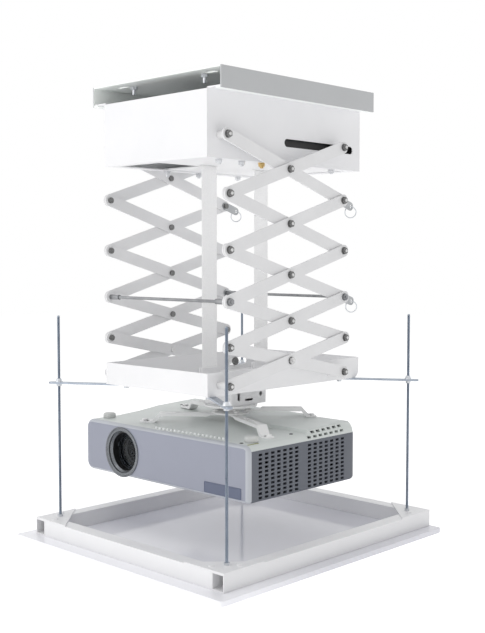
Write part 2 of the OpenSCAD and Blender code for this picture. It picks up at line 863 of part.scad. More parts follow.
// Direction from an arm's bolt to its rod
arm_turn = atan2(rod_y - arm_bolt_y, rod_x - arm_bolt_x);
arm_reach = sqrt(pow(rod_x - arm_bolt_x, 2) + pow(rod_y - arm_bolt_y, 2));

// Flat arms under the tray's corners
module corner_arms() color("silver") four_corners()
  translate([arm_bolt_x, arm_bolt_y, arm_z]) rotate(arm_turn) linear_extrude(mount_t) difference() {
    translate([(arm_reach + corner_arm_over) / 2, 0])
      slot_outline(arm_reach + corner_arm_over + corner_arm_w, corner_arm_w);
    circle(r = arm_bolt_r + run_clear);
    translate([arm_reach, 0]) circle(r = rod_r + run_clear);
  }

// Threaded rods from the corner arms down to the closure frame
module threaded_rods() color("silver") four_corners()
  translate([rod_x, rod_y, rod_bottom]) cylinder(h = rod_len, r = rod_r, $fn = small_sides);

// Thickness of the corner gussets
gusset_t = 2;
// Thickness and width across flats of the nuts on the rods
rod_nut_t = 4;
rod_nut_af = 8;
// Radius at the foot and at the top, and height, of the cone nut above each corner arm
cone_r = 6.5;
cone_top_r = 4;
cone_h = 6;

// Nuts on the rods, and the bolts that hold the corner arms and the neck box
module rod_nuts() color("silver") four_corners() {
  translate([rod_x, rod_y, 0]) {
    translate([0, 0, arm_z + mount_t]) difference() {
      cylinder(h = cone_h, r1 = cone_r, r2 = cone_top_r);
      translate([0, 0, -over]) cylinder(h = cone_h + 2 * over, r = rod_r + run_clear);
    }
    nut_z(arm_z - rod_nut_t, rod_nut_t, rod_nut_af, rod_r + run_clear);
    nut_z(rod_bottom + gusset_t, rod_nut_t, rod_nut_af, rod_r + run_clear);
  }
  translate([arm_bolt_x, arm_bolt_y, arm_z - rod_nut_t]) {
    cylinder(h = rod_nut_t, r = rod_nut_af / 2 / cos(30), $fn = 6);
    cylinder(h = rod_nut_t + mount_t + sheet_t, r = arm_bolt_r);
    translate([0, 0, rod_nut_t + mount_t + sheet_t]) cylinder(h = chassis_head_t, r = 2 * arm_bolt_r);
  }
  translate([neck_w / 2 - neck_screw_in, neck_len / 2 - neck_screw_in, tray_floor - neck_t]) {
    cylinder(h = neck_t + sheet_t, r = neck_screw_r);
    translate([0, 0, neck_t + sheet_t]) cylinder(h = chassis_head_t, r = 2 * neck_screw_r);
  }
}

// Rails of the closure frame that run from front to back, with open ends
module side_rails() color("whitesmoke") both_sides()
  translate([frame_w / 2 - tube_w, -frame_len / 2, rod_bottom - tube_h]) difference() {
    cube([tube_w, frame_len, tube_h]);
    translate([tube_t, -over, tube_t]) cube([tube_w - 2 * tube_t, frame_len + 2 * over, tube_h - 2 * tube_t]);
  }

// Rails of the closure frame between the side rails
module cross_rails() color("whitesmoke") for (s = [0, 1]) mirror([0, s, 0]) {
  length = frame_w - 2 * tube_w;
  translate([-length / 2, frame_len / 2 - tube_w, rod_bottom - tube_h]) difference() {
    cube([length, tube_w, tube_h]);
    translate([-over, tube_t, tube_t]) cube([length + 2 * over, tube_w - 2 * tube_t, tube_h - 2 * tube_t]);
  }
}

// Radius and head of the gusset screws
gusset_screw_r = 2;
gusset_head_r = 4;
gusset_head_t = 2;

// Places of the gusset screws, over the middles of the rails
module gusset_screw_places() {
  translate([rod_x - tube_w / 2, frame_len / 2 - tube_w / 2]) children();
  translate([frame_w / 2 - tube_w / 2, rod_y - tube_w / 2]) children();
}

// Triangular plates that join the rails and take the rods, with their screw heads
module corner_gussets() color("gainsboro") four_corners() {
  translate([0, 0, rod_bottom]) linear_extrude(gusset_t) difference() {
    polygon([
      [frame_w / 2, frame_len / 2],
      [frame_w / 2 - gusset_leg, frame_len / 2],
      [frame_w / 2, frame_len / 2 - gusset_leg]
    ]);
    translate([rod_x, rod_y]) circle(r = rod_r + run_clear);
  }
  gusset_screw_places() translate([0, 0, rod_bottom + gusset_t]) cylinder(h = gusset_head_t, r = gusset_head_r);
}

// Rounding of the closure panel's corners
panel_round = 6;

// Flat panel that closes the ceiling opening
module closure_panel() color("white") translate([0, -panel_front, panel_top - panel_t])
  linear_extrude(panel_t) round_rectangle(frame_w + 2 * panel_over_x, frame_len + panel_over_y, panel_round);

// Projector mount

// Half the gap of the hub's yoke, and the thickness and width of its ears
yoke_in = 14;
yoke_t = 3;
yoke_w = 12;
// Radius of the tilt pin, and its height above the spider plate
tilt_r = 3;
tilt_up = 5;
// Radius of the lug round the tilt pin, the width of its foot, and the radius of the pin's ends
lug_r = 4.5;
lug_w = 8;
yoke_end = 4;
// Width across flats and thickness of the swivel bolt's nut
swivel_nut_af = 18;
swivel_nut_t = 6;
// Radius of the spider plate that carries the arms, and of the circle of their bolts
spider_r = 33;
arm_bolt_ring_r = 25;

// Hub with its swivel bolt and the yoke for the tilt pin
module mount_hub() color("gainsboro") translate([0, hub_y, 0]) {
  top = neck_bottom - side_clear;
  tilt_z = spider_top + tilt_up;
  translate([0, 0, top - mount_t]) cylinder(h = mount_t, r = hub_r);
  translate([0, 0, top - mount_t]) cylinder(h = mount_t + neck_t + 2 * side_clear + swivel_nut_t, r = swivel_r);
  nut_z(neck_bottom + neck_t + side_clear, swivel_nut_t, swivel_nut_af, swivel_r - run_clear);
  both_sides() difference() {
    translate([yoke_in, -yoke_w / 2, tilt_z - yoke_end])
      cube([yoke_t, yoke_w, top - mount_t - tilt_z + yoke_end]);
    translate([0, 0, tilt_z]) along_x(yoke_in - over, yoke_in + yoke_t + over, tilt_r + run_clear);
  }
}

// Feet of the mount arms, from the hub's middle: sideways and front to back
arm_feet = [
  [right_front_foot_x, -right_front_foot_y],
  [right_rear_foot_x, right_rear_foot_y],
  [-left_front_foot_x, -left_front_foot_y],
  [-left_rear_foot_x, left_rear_foot_y]
];
// Where the straight part of an arm ends, as a share of its length
arm_straight_share = 0.82;
// Length and width of the slot in each arm, and the place of its middle as a share of the arm's length
arm_slot_len = 36;
arm_slot_w = 5.5;
arm_slot_share = 0.52;
// Length of a foot up to its screw
foot_len = 12;
// Radius and thickness of the mount screws' heads
mount_head_r = 4.5;
mount_head_t = 3;

// Length of the arm to foot f
function arm_reach_to(f) = sqrt(pow(f[0], 2) + pow(f[1], 2));

// Arm of length reach: a flat strip with a slot, bent down to a round foot, and its screw
module mount_arm(reach) {
  straight = reach * arm_straight_share;
  bend_end = reach - foot_len;
  tuck = mount_t * tan(atan2(arm_bend, bend_end - straight) / 2);
  foot_end = reach + arm_w;
  intersection() {
    rotate([90, 0, 0]) linear_extrude(2 * arm_w, center = true) polygon([
      [0, 0], [straight + tuck, 0], [bend_end + tuck, -arm_bend], [foot_end, -arm_bend],
      [foot_end, -arm_bend - mount_t], [bend_end, -arm_bend - mount_t], [straight, -mount_t], [0, -mount_t]
    ]);
    translate([0, 0, -2 * arm_bend]) linear_extrude(3 * arm_bend) difference() {
      union() {
        translate([spider_r / 2, -arm_w / 2]) square([reach - spider_r / 2, arm_w]);
        translate([reach, 0]) circle(d = arm_w);
      }
      translate([reach * arm_slot_share, 0]) slot_outline(arm_slot_len, arm_slot_w);
    }
  }
  translate([reach, 0, -arm_bend - mount_t / 2]) cylinder(h = mount_head_t + mount_t / 2, r = mount_head_r);
}

// Four arms under a round plate with their bolts, and the tilt lug and pin on the plate
module mount_arms() color("gainsboro") translate([0, hub_y, 0]) {
  for (f = arm_feet) rotate(atan2(f[1], f[0])) {
    translate([0, 0, arm_top]) mount_arm(arm_reach_to(f));
    translate([arm_bolt_ring_r, 0, spider_top - over]) cylinder(h = over + mount_head_t, r = mount_head_r);
  }
  translate([0, 0, spider_top - mount_t]) cylinder(h = mount_t, r = spider_r);
  translate([-yoke_in + side_clear, -lug_w / 2, spider_top - over])
    cube([2 * (yoke_in - side_clear), lug_w, tilt_up + over]);
  translate([0, 0, spider_top + tilt_up]) {
    along_x(-yoke_in + side_clear, yoke_in - side_clear, lug_r);
    along_x(-yoke_in - yoke_t - side_clear - tip_len, yoke_in + yoke_t + side_clear + tip_len, tilt_r);
    both_sides() along_x(yoke_in + yoke_t + side_clear, yoke_in + yoke_t + side_clear + tip_len, yoke_end);
  }
}

// Projector

// Height of the vent grille, and its distance from the case's front and rear
grille_h = 71;
grille_margin = 26;
// Distances of the grille's middle in front of and below the middle of the case's side
grille_front = 5.1;
grille_low = 4.6;
grille_len = case_d - 2 * grille_margin;
grille_y = case_y - grille_front;
grille_z = case_top - case_h / 2 - grille_low;
// Width of a vent hole, pitch of the columns, and distance of the two blocks' middles from the
// grille's middle, as shares of the grille's length
vent_w_share = 0.038;
vent_pitch_share = 0.0663;
vent_block_share = 0.2725;
vent_w = grille_len * vent_w_share;
vent_pitch_y = grille_len * vent_pitch_share;
vent_block = grille_len * vent_block_share;
// Height of a vent hole and pitch of the rows, as shares of the grille's height
vent_h_share = 0.0535;
vent_row_share = 0.093;
vent_h = grille_h * vent_h_share;
vent_pitch_z = grille_h * vent_row_share;

// Rectangle whose corners on one side have the radius r1, and on the other side r2, drawn in by t
module case_outline(length, r1, r2, t) {
  h = case_h / 2 - t;
  l = length / 2 - t;
  translate([-l + r1 - t, -h]) square([2 * l - r1 - r2 + 2 * t, 2 * h]);
  translate([-l, -h + r1 - t]) square([r1 - t, 2 * (h - r1 + t)]);
  translate([l - r2 + t, -h + r2 - t]) square([r2 - t, 2 * (h - r2 + t)]);
  for (s = [-1, 1]) {
    translate([-l + r1 - t, s * (h - r1 + t)]) circle(r = r1 - t);
    translate([l - r2 + t, s * (h - r2 + t)]) circle(r = r2 - t);
  }
}

// The projector's outer form, drawn in by t
module case_form(t) translate([case_x, case_y, case_top - case_h / 2]) intersection() {
  rotate([90, 0, 0]) linear_extrude(case_d - 2 * t, center = true) case_outline(case_w, case_round, case_edge, t);
  rotate([90, 0, 90]) linear_extrude(case_w, center = true) case_outline(case_d, case_edge, case_round, t);
}

// Hollow case with openings for the lens and the vent grille
module projector_case() color("slategray") difference() {
  case_form(0);
  case_form(case_t);
  translate([-lens_left, 0, lens_z]) along_y(case_front_y - over, case_front_y + case_t + over, barrel_r + side_clear);
  translate([case_x + case_w / 2 - case_t - over, grille_y - grille_len / 2, grille_z - grille_h / 2])
    cube([case_t + 2 * over, grille_len, grille_h]);
  for (s = [-1, 1]) translate([case_x + s * foot_x, foot_y, case_top - case_t - over])
    cylinder(h = case_t + 2 * over, r = foot_stem_r + run_clear);
}

// Dark side panel with two blocks of vent holes
module vent_grille() color("dimgray")
  translate([0, grille_y, grille_z]) side_plate(case_x + case_w / 2 - case_t, case_t) difference() {
    square([grille_len, grille_h], center = true);
    for (b = [-1, 1], c = [0 : vent_columns - 1], r = [0 : vent_rows - 1])
      translate([
        b * vent_block + (c - (vent_columns - 1) / 2) * vent_pitch_y,
        (r - (vent_rows - 1) / 2) * vent_pitch_z
      ]) square([vent_w, vent_h], center = true);
  }

// Depth of the lens barrel behind the case's front
barrel_len = 70;
// Wall of the lens barrel in front of the glass, and its outer radius
barrel_t = 4;
barrel_r = case_h / 2 - 2 * case_t - 2 * side_clear;
// How far the barrel and the focus ring stand out of the case
barrel_out = 2;
// Thickness of the focus ring from front to back
focus_len = 9;

// Lens barrel in the case
module lens_barrel() color("black") translate([-lens_left, case_front_y, lens_z]) difference() {
  along_y(case_t / 2, barrel_len, barrel_r);
  along_y(-over, barrel_len - barrel_t, lens_glass_r + side_clear);
  along_y(-over, focus_len - barrel_out, lens_glass_r + barrel_t + run_clear);
}

// Ring round the glass that turns to focus
module focus_ring() color("gainsboro") translate([-lens_left, case_front_y, lens_z]) {
  difference() {
    along_y(-barrel_out, focus_len - barrel_out - side_clear, lens_glass_r + barrel_t);
    along_y(-barrel_out - over, focus_len + over, lens_glass_r + side_clear);
  }
  difference() {
    along_y(-barrel_out, -side_clear, lens_ring_r);
    along_y(-barrel_out - over, over, lens_glass_r + barrel_t - over);
  }
}

// Depth of the glass behind the case's front, its thickness, its crown's radius and that curve's sides
glass_in = 12;
glass_t = 8;
crown_r = 96;
crown_sides = 240;

module lens_glass() color("midnightblue") translate([-lens_left, case_front_y + glass_in, lens_z])
  rotate([-90, 0, 0]) rotate_extrude() intersection() {
    square([lens_glass_r, glass_t]);
    translate([0, crown_r]) circle(r = crown_r, $fn = crown_sides);
  }

// Distance of the adjusting feet from the case's sides and front, and their sizes
foot_in_x = 25;
foot_in_y = 33;
foot_pad_r = 11;
foot_pad_t = 9;
foot_stem_r = 4;
foot_stem_len = 16;
foot_x = case_w / 2 - foot_in_x;
foot_y = case_front_y + foot_in_y;

// Adjusting foot, which screws out of the case
module foot(s) translate([case_x + s * foot_x, foot_y, case_top]) {
  translate([0, 0, side_clear]) cylinder(h = foot_pad_t, r = foot_pad_r);
  translate([0, 0, -foot_stem_len]) cylinder(h = foot_stem_len + 2 * side_clear, r = foot_stem_r);
}

module left_foot() color("gray") foot(-1);

module right_foot() color("gray") foot(1);

ceiling_plate();
plate_bolts();
housing_front_panel();
housing_rear_panel();
housing_left_panel();
housing_right_panel();
chassis_plate();
chassis_screws();
motor_brackets();
tubular_motor();
control_box();
upper_pivot_bolts();
belt_drum();
front_belt();
rear_belt();
falling_bars_1();
falling_bars_2();
falling_bars_3();
falling_bars_4();
falling_bars_5();
rising_bars_1();
rising_bars_2();
rising_bars_3();
rising_bars_4();
rising_bars_5();
stage_1_bolts();
stage_2_bolts();
stage_3_bolts();
stage_4_bolts();
stage_5_bolts();
upper_slide_pins();
level_1_bolts();
level_2_bolts();
near_tie_rod();
level_4_bolts();
far_tie_rod();
upper_ring_tabs();
lower_ring_tabs();
upper_rings();
lower_rings();
tray();
lower_pivot_bolts();
belt_clamps();
neck_box();
corner_arms();
threaded_rods();
rod_nuts();
side_rails();
cross_rails();
corner_gussets();
closure_panel();
mount_hub();
mount_arms();
projector_case();
vent_grille();
lens_barrel();
focus_ring();
lens_glass();
left_foot();
right_foot();
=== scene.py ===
import math

import bmesh
import bpy
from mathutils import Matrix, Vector


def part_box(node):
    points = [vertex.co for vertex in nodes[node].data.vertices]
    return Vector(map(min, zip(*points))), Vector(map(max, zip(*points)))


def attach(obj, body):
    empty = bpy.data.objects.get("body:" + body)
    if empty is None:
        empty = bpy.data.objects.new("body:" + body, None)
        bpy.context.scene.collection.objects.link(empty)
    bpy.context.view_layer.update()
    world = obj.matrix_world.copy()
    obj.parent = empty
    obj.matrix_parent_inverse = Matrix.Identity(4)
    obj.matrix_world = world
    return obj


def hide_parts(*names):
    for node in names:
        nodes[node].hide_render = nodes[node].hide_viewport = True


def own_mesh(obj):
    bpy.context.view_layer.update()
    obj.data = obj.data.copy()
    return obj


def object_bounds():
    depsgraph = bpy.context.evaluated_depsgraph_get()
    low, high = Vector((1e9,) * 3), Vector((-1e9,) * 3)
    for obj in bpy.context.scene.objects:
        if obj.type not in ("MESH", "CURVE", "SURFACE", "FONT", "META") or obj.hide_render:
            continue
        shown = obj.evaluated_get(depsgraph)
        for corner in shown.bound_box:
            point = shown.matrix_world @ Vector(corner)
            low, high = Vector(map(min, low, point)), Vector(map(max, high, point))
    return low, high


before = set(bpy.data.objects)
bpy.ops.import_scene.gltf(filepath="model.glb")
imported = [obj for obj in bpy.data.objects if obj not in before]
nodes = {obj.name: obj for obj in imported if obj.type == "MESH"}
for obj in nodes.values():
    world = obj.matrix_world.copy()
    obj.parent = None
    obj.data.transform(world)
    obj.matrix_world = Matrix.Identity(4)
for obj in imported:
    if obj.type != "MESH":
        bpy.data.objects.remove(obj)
cad_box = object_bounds()


# The view and the light: the lift is seen from its right front, level with the projector's upper
# half, against plain white. Soft light falls on the front, and the right side is dimmer.
camera_data = bpy.data.cameras.new("photo_camera")
camera_data.lens = 58.31
camera_data.sensor_width = 36
camera_data.clip_end = 30
camera = bpy.data.objects.new("photo_camera", camera_data)
camera.location = (1.2332, -1.2552, -0.2824)
camera_dip, camera_turn = 3.318, 44.107
camera.rotation_euler = (math.radians(90 - camera_dip), 0, math.radians(camera_turn))
bpy.context.scene.collection.objects.link(camera)
bpy.context.scene.camera = camera
bpy.context.scene.view_settings.view_transform = "Standard"


def add(tree, kind, inputs=None, **settings):
    """A shader node with its inputs set or linked; inputs are named or numbered."""
    made = tree.nodes.new("ShaderNode" + kind)
    for key, value in settings.items():
        setattr(made, key, value)
    for key, value in (inputs or {}).items():
        if isinstance(value, bpy.types.NodeSocket):
            tree.links.new(value, made.inputs[key])
        else:
            made.inputs[key].default_value = value
    return made


def math_of(tree, operation, *values):
    """The result of a product, a comparison or the like of one or two values."""
    return add(tree, "Math", dict(enumerate(values)), operation=operation).outputs[0]


def between(tree, value, low, high, start=0.0, end=1.0):
    """A value that runs from low to high while the given one runs from start to end."""
    return add(tree, "MapRange", {"Value": value, "From Min": start, "From Max": end, "To Min": low,
                                  "To Max": high}).outputs[0]


def seen_directly(tree):
    """1 for rays that come from the camera, a mirror or a glass, and 0 for light."""
    path = add(tree, "LightPath").outputs
    shiny = math_of(tree, "MAXIMUM", path["Is Glossy Ray"], path["Is Transmission Ray"])
    return math_of(tree, "MAXIMUM", path["Is Camera Ray"], shiny)


sky_light, seen_light = 0.58, 1.0
sky = bpy.data.worlds.new("studio_white")
sky.use_nodes = True
tree = sky.node_tree
tree.nodes.clear()
strength = between(tree, seen_directly(tree), sky_light, seen_light)
backdrop = add(tree, "Background", {"Color": (1, 1, 1, 1), "Strength": strength})
add(tree, "OutputWorld", {"Surface": backdrop.outputs[0]})
bpy.context.scene.world = sky


def new_material(name):
    """A material without nodes, and its node tree."""
    made = bpy.data.materials.new(name)
    made.use_nodes = True
    made.node_tree.nodes.clear()
    return made, made.node_tree


floor_half, floor_gap = 6, 0.0005
floor_corners = [(floor_half * x, floor_half * y, 0) for x, y in ((-1, -1), (1, -1), (1, 1), (-1, 1))]
floor_mesh = bpy.data.meshes.new("floor")
floor_mesh.from_pydata(floor_corners, [], [(0, 1, 2, 3)])
floor = bpy.data.objects.new("floor", floor_mesh)
floor.location.z = cad_box[0].z - floor_gap
bpy.context.scene.collection.objects.link(floor)
paper, tree = new_material("studio_paper")
paper_grain = add(tree, "TexNoise", {"Scale": 3.0, "Detail": 2.0})
paper_tone = between(tree, paper_grain.outputs[0], 0.93, 0.95)
paper_diffuse = add(tree, "BsdfDiffuse", {"Color": paper_tone})
paper_glow = add(tree, "Emission", {"Color": (1, 1, 1, 1), "Strength": 0.45})
paper_sum = add(tree, "AddShader", {0: paper_diffuse.outputs[0], 1: paper_glow.outputs[0]})
add(tree, "OutputMaterial", {"Surface": paper_sum.outputs[0]})
floor_mesh.materials.append(paper)


def soft_lamp(name, place, aim, size, power):
    """A square studio lamp that points at aim."""
    data = bpy.data.lights.new(name, "AREA")
    data.size = size
    data.energy = power
    lamp = bpy.data.objects.new(name, data)
    lamp.location = place
    lamp.rotation_euler = (Vector(aim) - Vector(place)).to_track_quat("-Z", "Y").to_euler()
    bpy.context.scene.collection.objects.link(lamp)


soft_lamp("key_window", (-2.3, -2.7, 0.95), (0, 0, -0.5), 1.5, 8)
soft_lamp("front_fill", (-0.6, -3.4, 0.45), (0, 0, -0.4), 1.8, 12.5)
soft_lamp("floor_bounce", (-0.2, -3.0, -0.5), (0, 0, -0.5), 1.4, 7)
soft_lamp("back_light", (0.2, 2.6, 0.5), (0, 0, -0.55), 1.6, 10)
soft_lamp("ceiling_bounce", (-0.3, -0.6, 2.6), (0, 0, -0.4), 2.6, 26)


# The ceiling channel is folded from steel sheet and powder coated white. Its outside is painted greyer
# as painted shade, and its inside a little whiter as painted light that lifts the shade in the channel.
# Its four slots take the ceiling anchors, and its flanges are turned in at the bottom.
def shader_group(name, inputs):
    """An empty effect group that puts out colour, roughness and height, and its two end nodes' sockets."""
    group = bpy.data.node_groups.new(name, "ShaderNodeTree")
    for label, kind, value in inputs:
        socket = group.interface.new_socket(label, in_out="INPUT", socket_type="NodeSocket" + kind)
        socket.default_value = value
    for label, kind in (("Color", "Color"), ("Roughness", "Float"), ("Height", "Float")):
        group.interface.new_socket(label, in_out="OUTPUT", socket_type="NodeSocket" + kind)
    return group, group.nodes.new("NodeGroupInput").outputs, group.nodes.new("NodeGroupOutput").inputs


def put_out(group, result, colour, roughness, height):
    """Links an effect's three results to the group's end node."""
    for source, label in ((colour, "Color"), (roughness, "Roughness"), (height, "Height")):
        group.links.new(source, result[label])


def blend(tree, share, first, second):
    """The first colour where share is 0, and the second where it is 1."""
    return add(tree, "Mix", {"Factor": share, 6: first, 7: second}, data_type="RGBA").outputs[2]


orange_peel, given, result = shader_group(
    "orange_peel",
    [("Tint", "Color", (0.8, 0.8, 0.8, 1)), ("Soil", "Color", (0.6, 0.6, 0.6, 1)), ("Grain", "Float", 900.0),
     ("Soiling", "Float", 0.3), ("Roughness Low", "Float", 0.4), ("Roughness High", "Float", 0.5)])
where = add(orange_peel, "TexCoord").outputs["Object"]
cloud = add(orange_peel, "TexNoise", {"Vector": where, "Scale": 7.0, "Detail": 5.0,
                                      "Roughness": 0.6}).outputs[0]
patch = between(orange_peel, cloud, 0.0, 1.0, 0.42, 0.75)
amount = math_of(orange_peel, "MULTIPLY", patch, given["Soiling"])
tone = blend(orange_peel, amount, given["Tint"], given["Soil"])
sheen = between(orange_peel, cloud, given["Roughness Low"], given["Roughness High"], 0.3, 0.7)
peel = add(orange_peel, "TexNoise", {"Vector": where, "Scale": given["Grain"], "Detail": 1.5}).outputs[0]
put_out(orange_peel, result, tone, sheen, peel)


def finish_of(name, group, values, bump, metallic=0.0, **shader_values):
    """A material whose colour, roughness and height come from a group; the rest is set on the shader."""
    made, tree = new_material(name)
    surface = tree.nodes.new("ShaderNodeGroup")
    surface.node_tree = group
    for label, value in values.items():
        surface.inputs[label].default_value = value
    relief = add(tree, "Bump", {"Height": surface.outputs["Height"], "Strength": bump[0],
                                "Distance": bump[1]})
    shader = add(tree, "BsdfPrincipled", {"Base Color": surface.outputs["Color"], "Metallic": metallic,
                                          "Roughness": surface.outputs["Roughness"],
                                          "Normal": relief.outputs[0]})
    for label, value in shader_values.items():
        shader.inputs[label.replace("_", " ")].default_value = value
    add(tree, "OutputMaterial", {"Surface": shader.outputs[0]})
    return made


def dress(node, material, edge=0.0, segments=2):
    """Gives a CAD node its material, and turns its sharp sheet edges into small rounds."""
    piece = nodes[node]
    for place in piece.material_slots:
        place.material = material
    if not edge:
        return
    weld = piece.modifiers.new("joined", "WELD")
    weld.merge_threshold = 1e-6
    plain = piece.modifiers.new("whole_faces", "DECIMATE")
    plain.decimate_type = "DISSOLVE"
    plain.angle_limit = math.radians(0.5)
    soft = piece.modifiers.new("soft_edges", "BEVEL")
    soft.width = edge
    soft.segments = segments
    soft.limit_method = "ANGLE"
    soft.angle_limit = math.radians(35)
    soft.harden_normals = True


powder_coat = finish_of(
    "white_powder_coat", orange_peel,
    {"Tint": (0.86, 0.86, 0.87, 1), "Soil": (0.74, 0.74, 0.76, 1), "Grain": 900.0, "Soiling": 0.3,
     "Roughness Low": 0.38, "Roughness High": 0.5},
    bump=(0.12, 0.0004), Coat_Weight=0.08)
plate_paint = finish_of(
    "ceiling_plate_paint", orange_peel,
    {"Grain": 900.0, "Soiling": 0.35, "Roughness Low": 0.38, "Roughness High": 0.5},
    bump=(0.12, 0.0004), Coat_Weight=0.08)


def object_place(tree):
    """The x, y and z of a point of the surface, on the part's own axes."""
    return add(tree, "SeparateXYZ", {0: add(tree, "TexCoord").outputs["Object"]}).outputs


def feed(material, label, source):
    """Links a value to an input of the material's effect group."""
    tree = material.node_tree
    effect = next(node for node in tree.nodes if node.type == "GROUP")
    tree.links.new(source, effect.inputs[label])


tree = plate_paint.node_tree
plate_sheet = 0.0024
sheet_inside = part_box("ceiling_plate")[1].x - plate_sheet
plate_reach = math_of(tree, "ABSOLUTE", object_place(tree)[0])
outside = math_of(tree, "GREATER_THAN", plate_reach, sheet_inside)
# Painted light: the inside colour is whiter to lift the shade there, and the outside colour is a darker grey
# as painted shade.
for label, inner, outer in (("Tint", (0.95, 0.98, 0.96, 1), (0.5, 0.51, 0.52, 1)),
                            ("Soil", (0.86, 0.9, 0.87, 1), (0.44, 0.45, 0.46, 1))):
    feed(plate_paint, label, blend(tree, outside, inner, outer))
dress("ceiling_plate", plate_paint, 0.0005)


# The housing is four folded panels of steel sheet, powder coated white and joined at the corners.
# A level chassis plate is bolted across the side panels' lower lips.
housing_paint = finish_of(
    "housing_paint", orange_peel,
    {"Tint": (0.85, 0.85, 0.865, 1), "Soil": (0.72, 0.73, 0.76, 1), "Grain": 1100.0, "Soiling": 0.25,
     "Roughness Low": 0.34, "Roughness High": 0.46},
    bump=(0.1, 0.0004), Coat_Weight=0.1)
for panel in ("housing_front_panel", "housing_rear_panel", "housing_left_panel", "housing_right_panel"):
    dress(panel, housing_paint, 0.0006)
dress("chassis_plate", powder_coat, 0.0003)


# Each side panel's guide slot is lined from inside with a black plastic channel, in which the
# slide pin's cap runs. Through the slot it shows as a black band.
def skin(shape, rings):
    """Joins each ring of points to the next, closes both ends and turns the faces outwards."""
    faces = []
    for a, b in zip(rings, rings[1:]):
        faces += [shape.faces.new((a[i - 1], a[i], b[i], b[i - 1])) for i in range(len(a))]
    faces += [shape.faces.new(rings[0]), shape.faces.new(rings[-1])]
    bmesh.ops.recalc_face_normals(shape, faces=faces)


def prism(shape, outline, near, far, place):
    """Adds a closed solid between the outline at near and at far; place turns (u, v, t) into a point."""
    skin(shape, [[shape.verts.new(place(u, v, t)) for u, v in outline] for t in (near, far)])


def block(shape, low, high):
    """Adds a box between two corners."""
    corners = [(low[0], low[1]), (high[0], low[1]), (high[0], high[1]), (low[0], high[1])]
    prism(shape, corners, low[2], high[2], lambda u, v, t: (u, v, t))


def piece_of(shape, name, material, body, smooth_to=30.0):
    """Turns a bmesh into a piece with its material, the body that it rides on and its finish."""
    mesh = bpy.data.meshes.new(name)
    shape.to_mesh(mesh)
    shape.free()
    mesh.shade_smooth()
    mesh.set_sharp_from_angle(angle=math.radians(smooth_to))
    mesh.materials.append(material)
    made = bpy.data.objects.new(name, mesh)
    bpy.context.scene.collection.objects.link(made)
    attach(made, body)
    return made


liner_plastic = finish_of(
    "liner_plastic", orange_peel,
    {"Tint": (0.012, 0.012, 0.014, 1), "Soil": (0.03, 0.03, 0.033, 1), "Grain": 1300.0, "Soiling": 0.5,
     "Roughness Low": 0.35, "Roughness High": 0.55},
    bump=(0.15, 0.0003))
slot_z = sum(corner.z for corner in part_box("upper_pivot_bolts")) / 2
mouth_x, floor_x, back_x = 0.1204, 0.1134, 0.112
inner_half, outer_half = 0.0078, 0.009
front_y, rear_y, end_wall = -0.0145, 0.1675, 0.001
for side, name in ((1, "right_guide_liner"), (-1, "left_guide_liner")):
    liner = bmesh.new()
    across = lambda u, v, t: (side * u, t, slot_z + v)
    channel = [(mouth_x, outer_half), (back_x, outer_half), (back_x, -outer_half), (mouth_x, -outer_half),
               (mouth_x, -inner_half), (floor_x, -inner_half), (floor_x, inner_half), (mouth_x, inner_half)]
    prism(liner, channel, front_y, rear_y, across)
    end_plate = [(floor_x, -inner_half), (mouth_x, -inner_half), (mouth_x, inner_half), (floor_x, inner_half)]
    prism(liner, end_plate, front_y, front_y + end_wall, across)
    prism(liner, end_plate, rear_y, rear_y - end_wall, across)
    piece_of(liner, name, liner_plastic, "housing")


# The screws, brackets and other bright fittings are zinc plated, with a fine brushed grain and
# the cloudy tone of the plating bath.
brushed, given, result = shader_group(
    "brushed_metal",
    [("Tint", "Color", (0.6, 0.6, 0.6, 1)), ("Soil", "Color", (0.3, 0.3, 0.3, 1)),
     ("Stretch", "Vector", (1, 1, 0.05)), ("Grain", "Float", 1500.0), ("Soiling", "Float", 0.4),
     ("Roughness Low", "Float", 0.25), ("Roughness High", "Float", 0.45)])
where = add(brushed, "TexCoord").outputs["Object"]
along = add(brushed, "VectorMath", {0: where, 1: given["Stretch"]}, operation="MULTIPLY")
hair = add(brushed, "TexNoise", {"Vector": along.outputs[0], "Scale": given["Grain"],
                                 "Detail": 2.0}).outputs[0]
bath = add(brushed, "TexNoise", {"Vector": where, "Scale": 60.0, "Detail": 3.0})
blotch = between(brushed, bath.outputs[0], 0.0, 1.0, 0.35, 0.75)
amount = math_of(brushed, "MULTIPLY", blotch, given["Soiling"])
tone = blend(brushed, amount, given["Tint"], given["Soil"])
sheen = between(brushed, hair, given["Roughness Low"], given["Roughness High"], 0.3, 0.7)
put_out(brushed, result, tone, sheen, hair)

zinc = finish_of(
    "zinc_plating", brushed,
    {"Tint": (0.62, 0.64, 0.67, 1), "Soil": (0.42, 0.44, 0.47, 1), "Stretch": (1, 1, 0.1), "Grain": 1200.0,
     "Soiling": 0.5, "Roughness Low": 0.28, "Roughness High": 0.42},
    bump=(0.08, 0.0002), metallic=1.0)
for fitting in ("motor_brackets", "belt_drum", "rod_nuts", "plate_bolts"):
    dress(fitting, zinc, 0.0003)
for ring in ("upper_rings", "lower_rings"):
    dress(ring, zinc)


# Under the housing's lips are short bolts with hexagonal nuts, bright zinc apart from one brass
# bolt on the right.
def lathe(shape, profile, steps, place, closed=False):
    """Adds a turned solid from a profile of (radius, distance along the axis); place gives each point."""
    rings = []
    for radius, along_axis in profile:
        if radius:
            turns = [2 * math.pi * i / steps for i in range(steps)]
            rings.append([shape.verts.new(place(radius * math.cos(turn), radius * math.sin(turn), along_axis))
                          for turn in turns])
        else:
            rings.append([shape.verts.new(place(0, 0, along_axis))] * steps)
    faces = []
    pairs = list(zip(rings, rings[1:])) + ([(rings[-1], rings[0])] if closed else [])
    for a, b in pairs:
        for i in range(steps):
            corners = list(dict.fromkeys((a[i - 1], a[i], b[i], b[i - 1])))
            faces.append(shape.faces.new(corners))
    bmesh.ops.recalc_face_normals(shape, faces=faces)


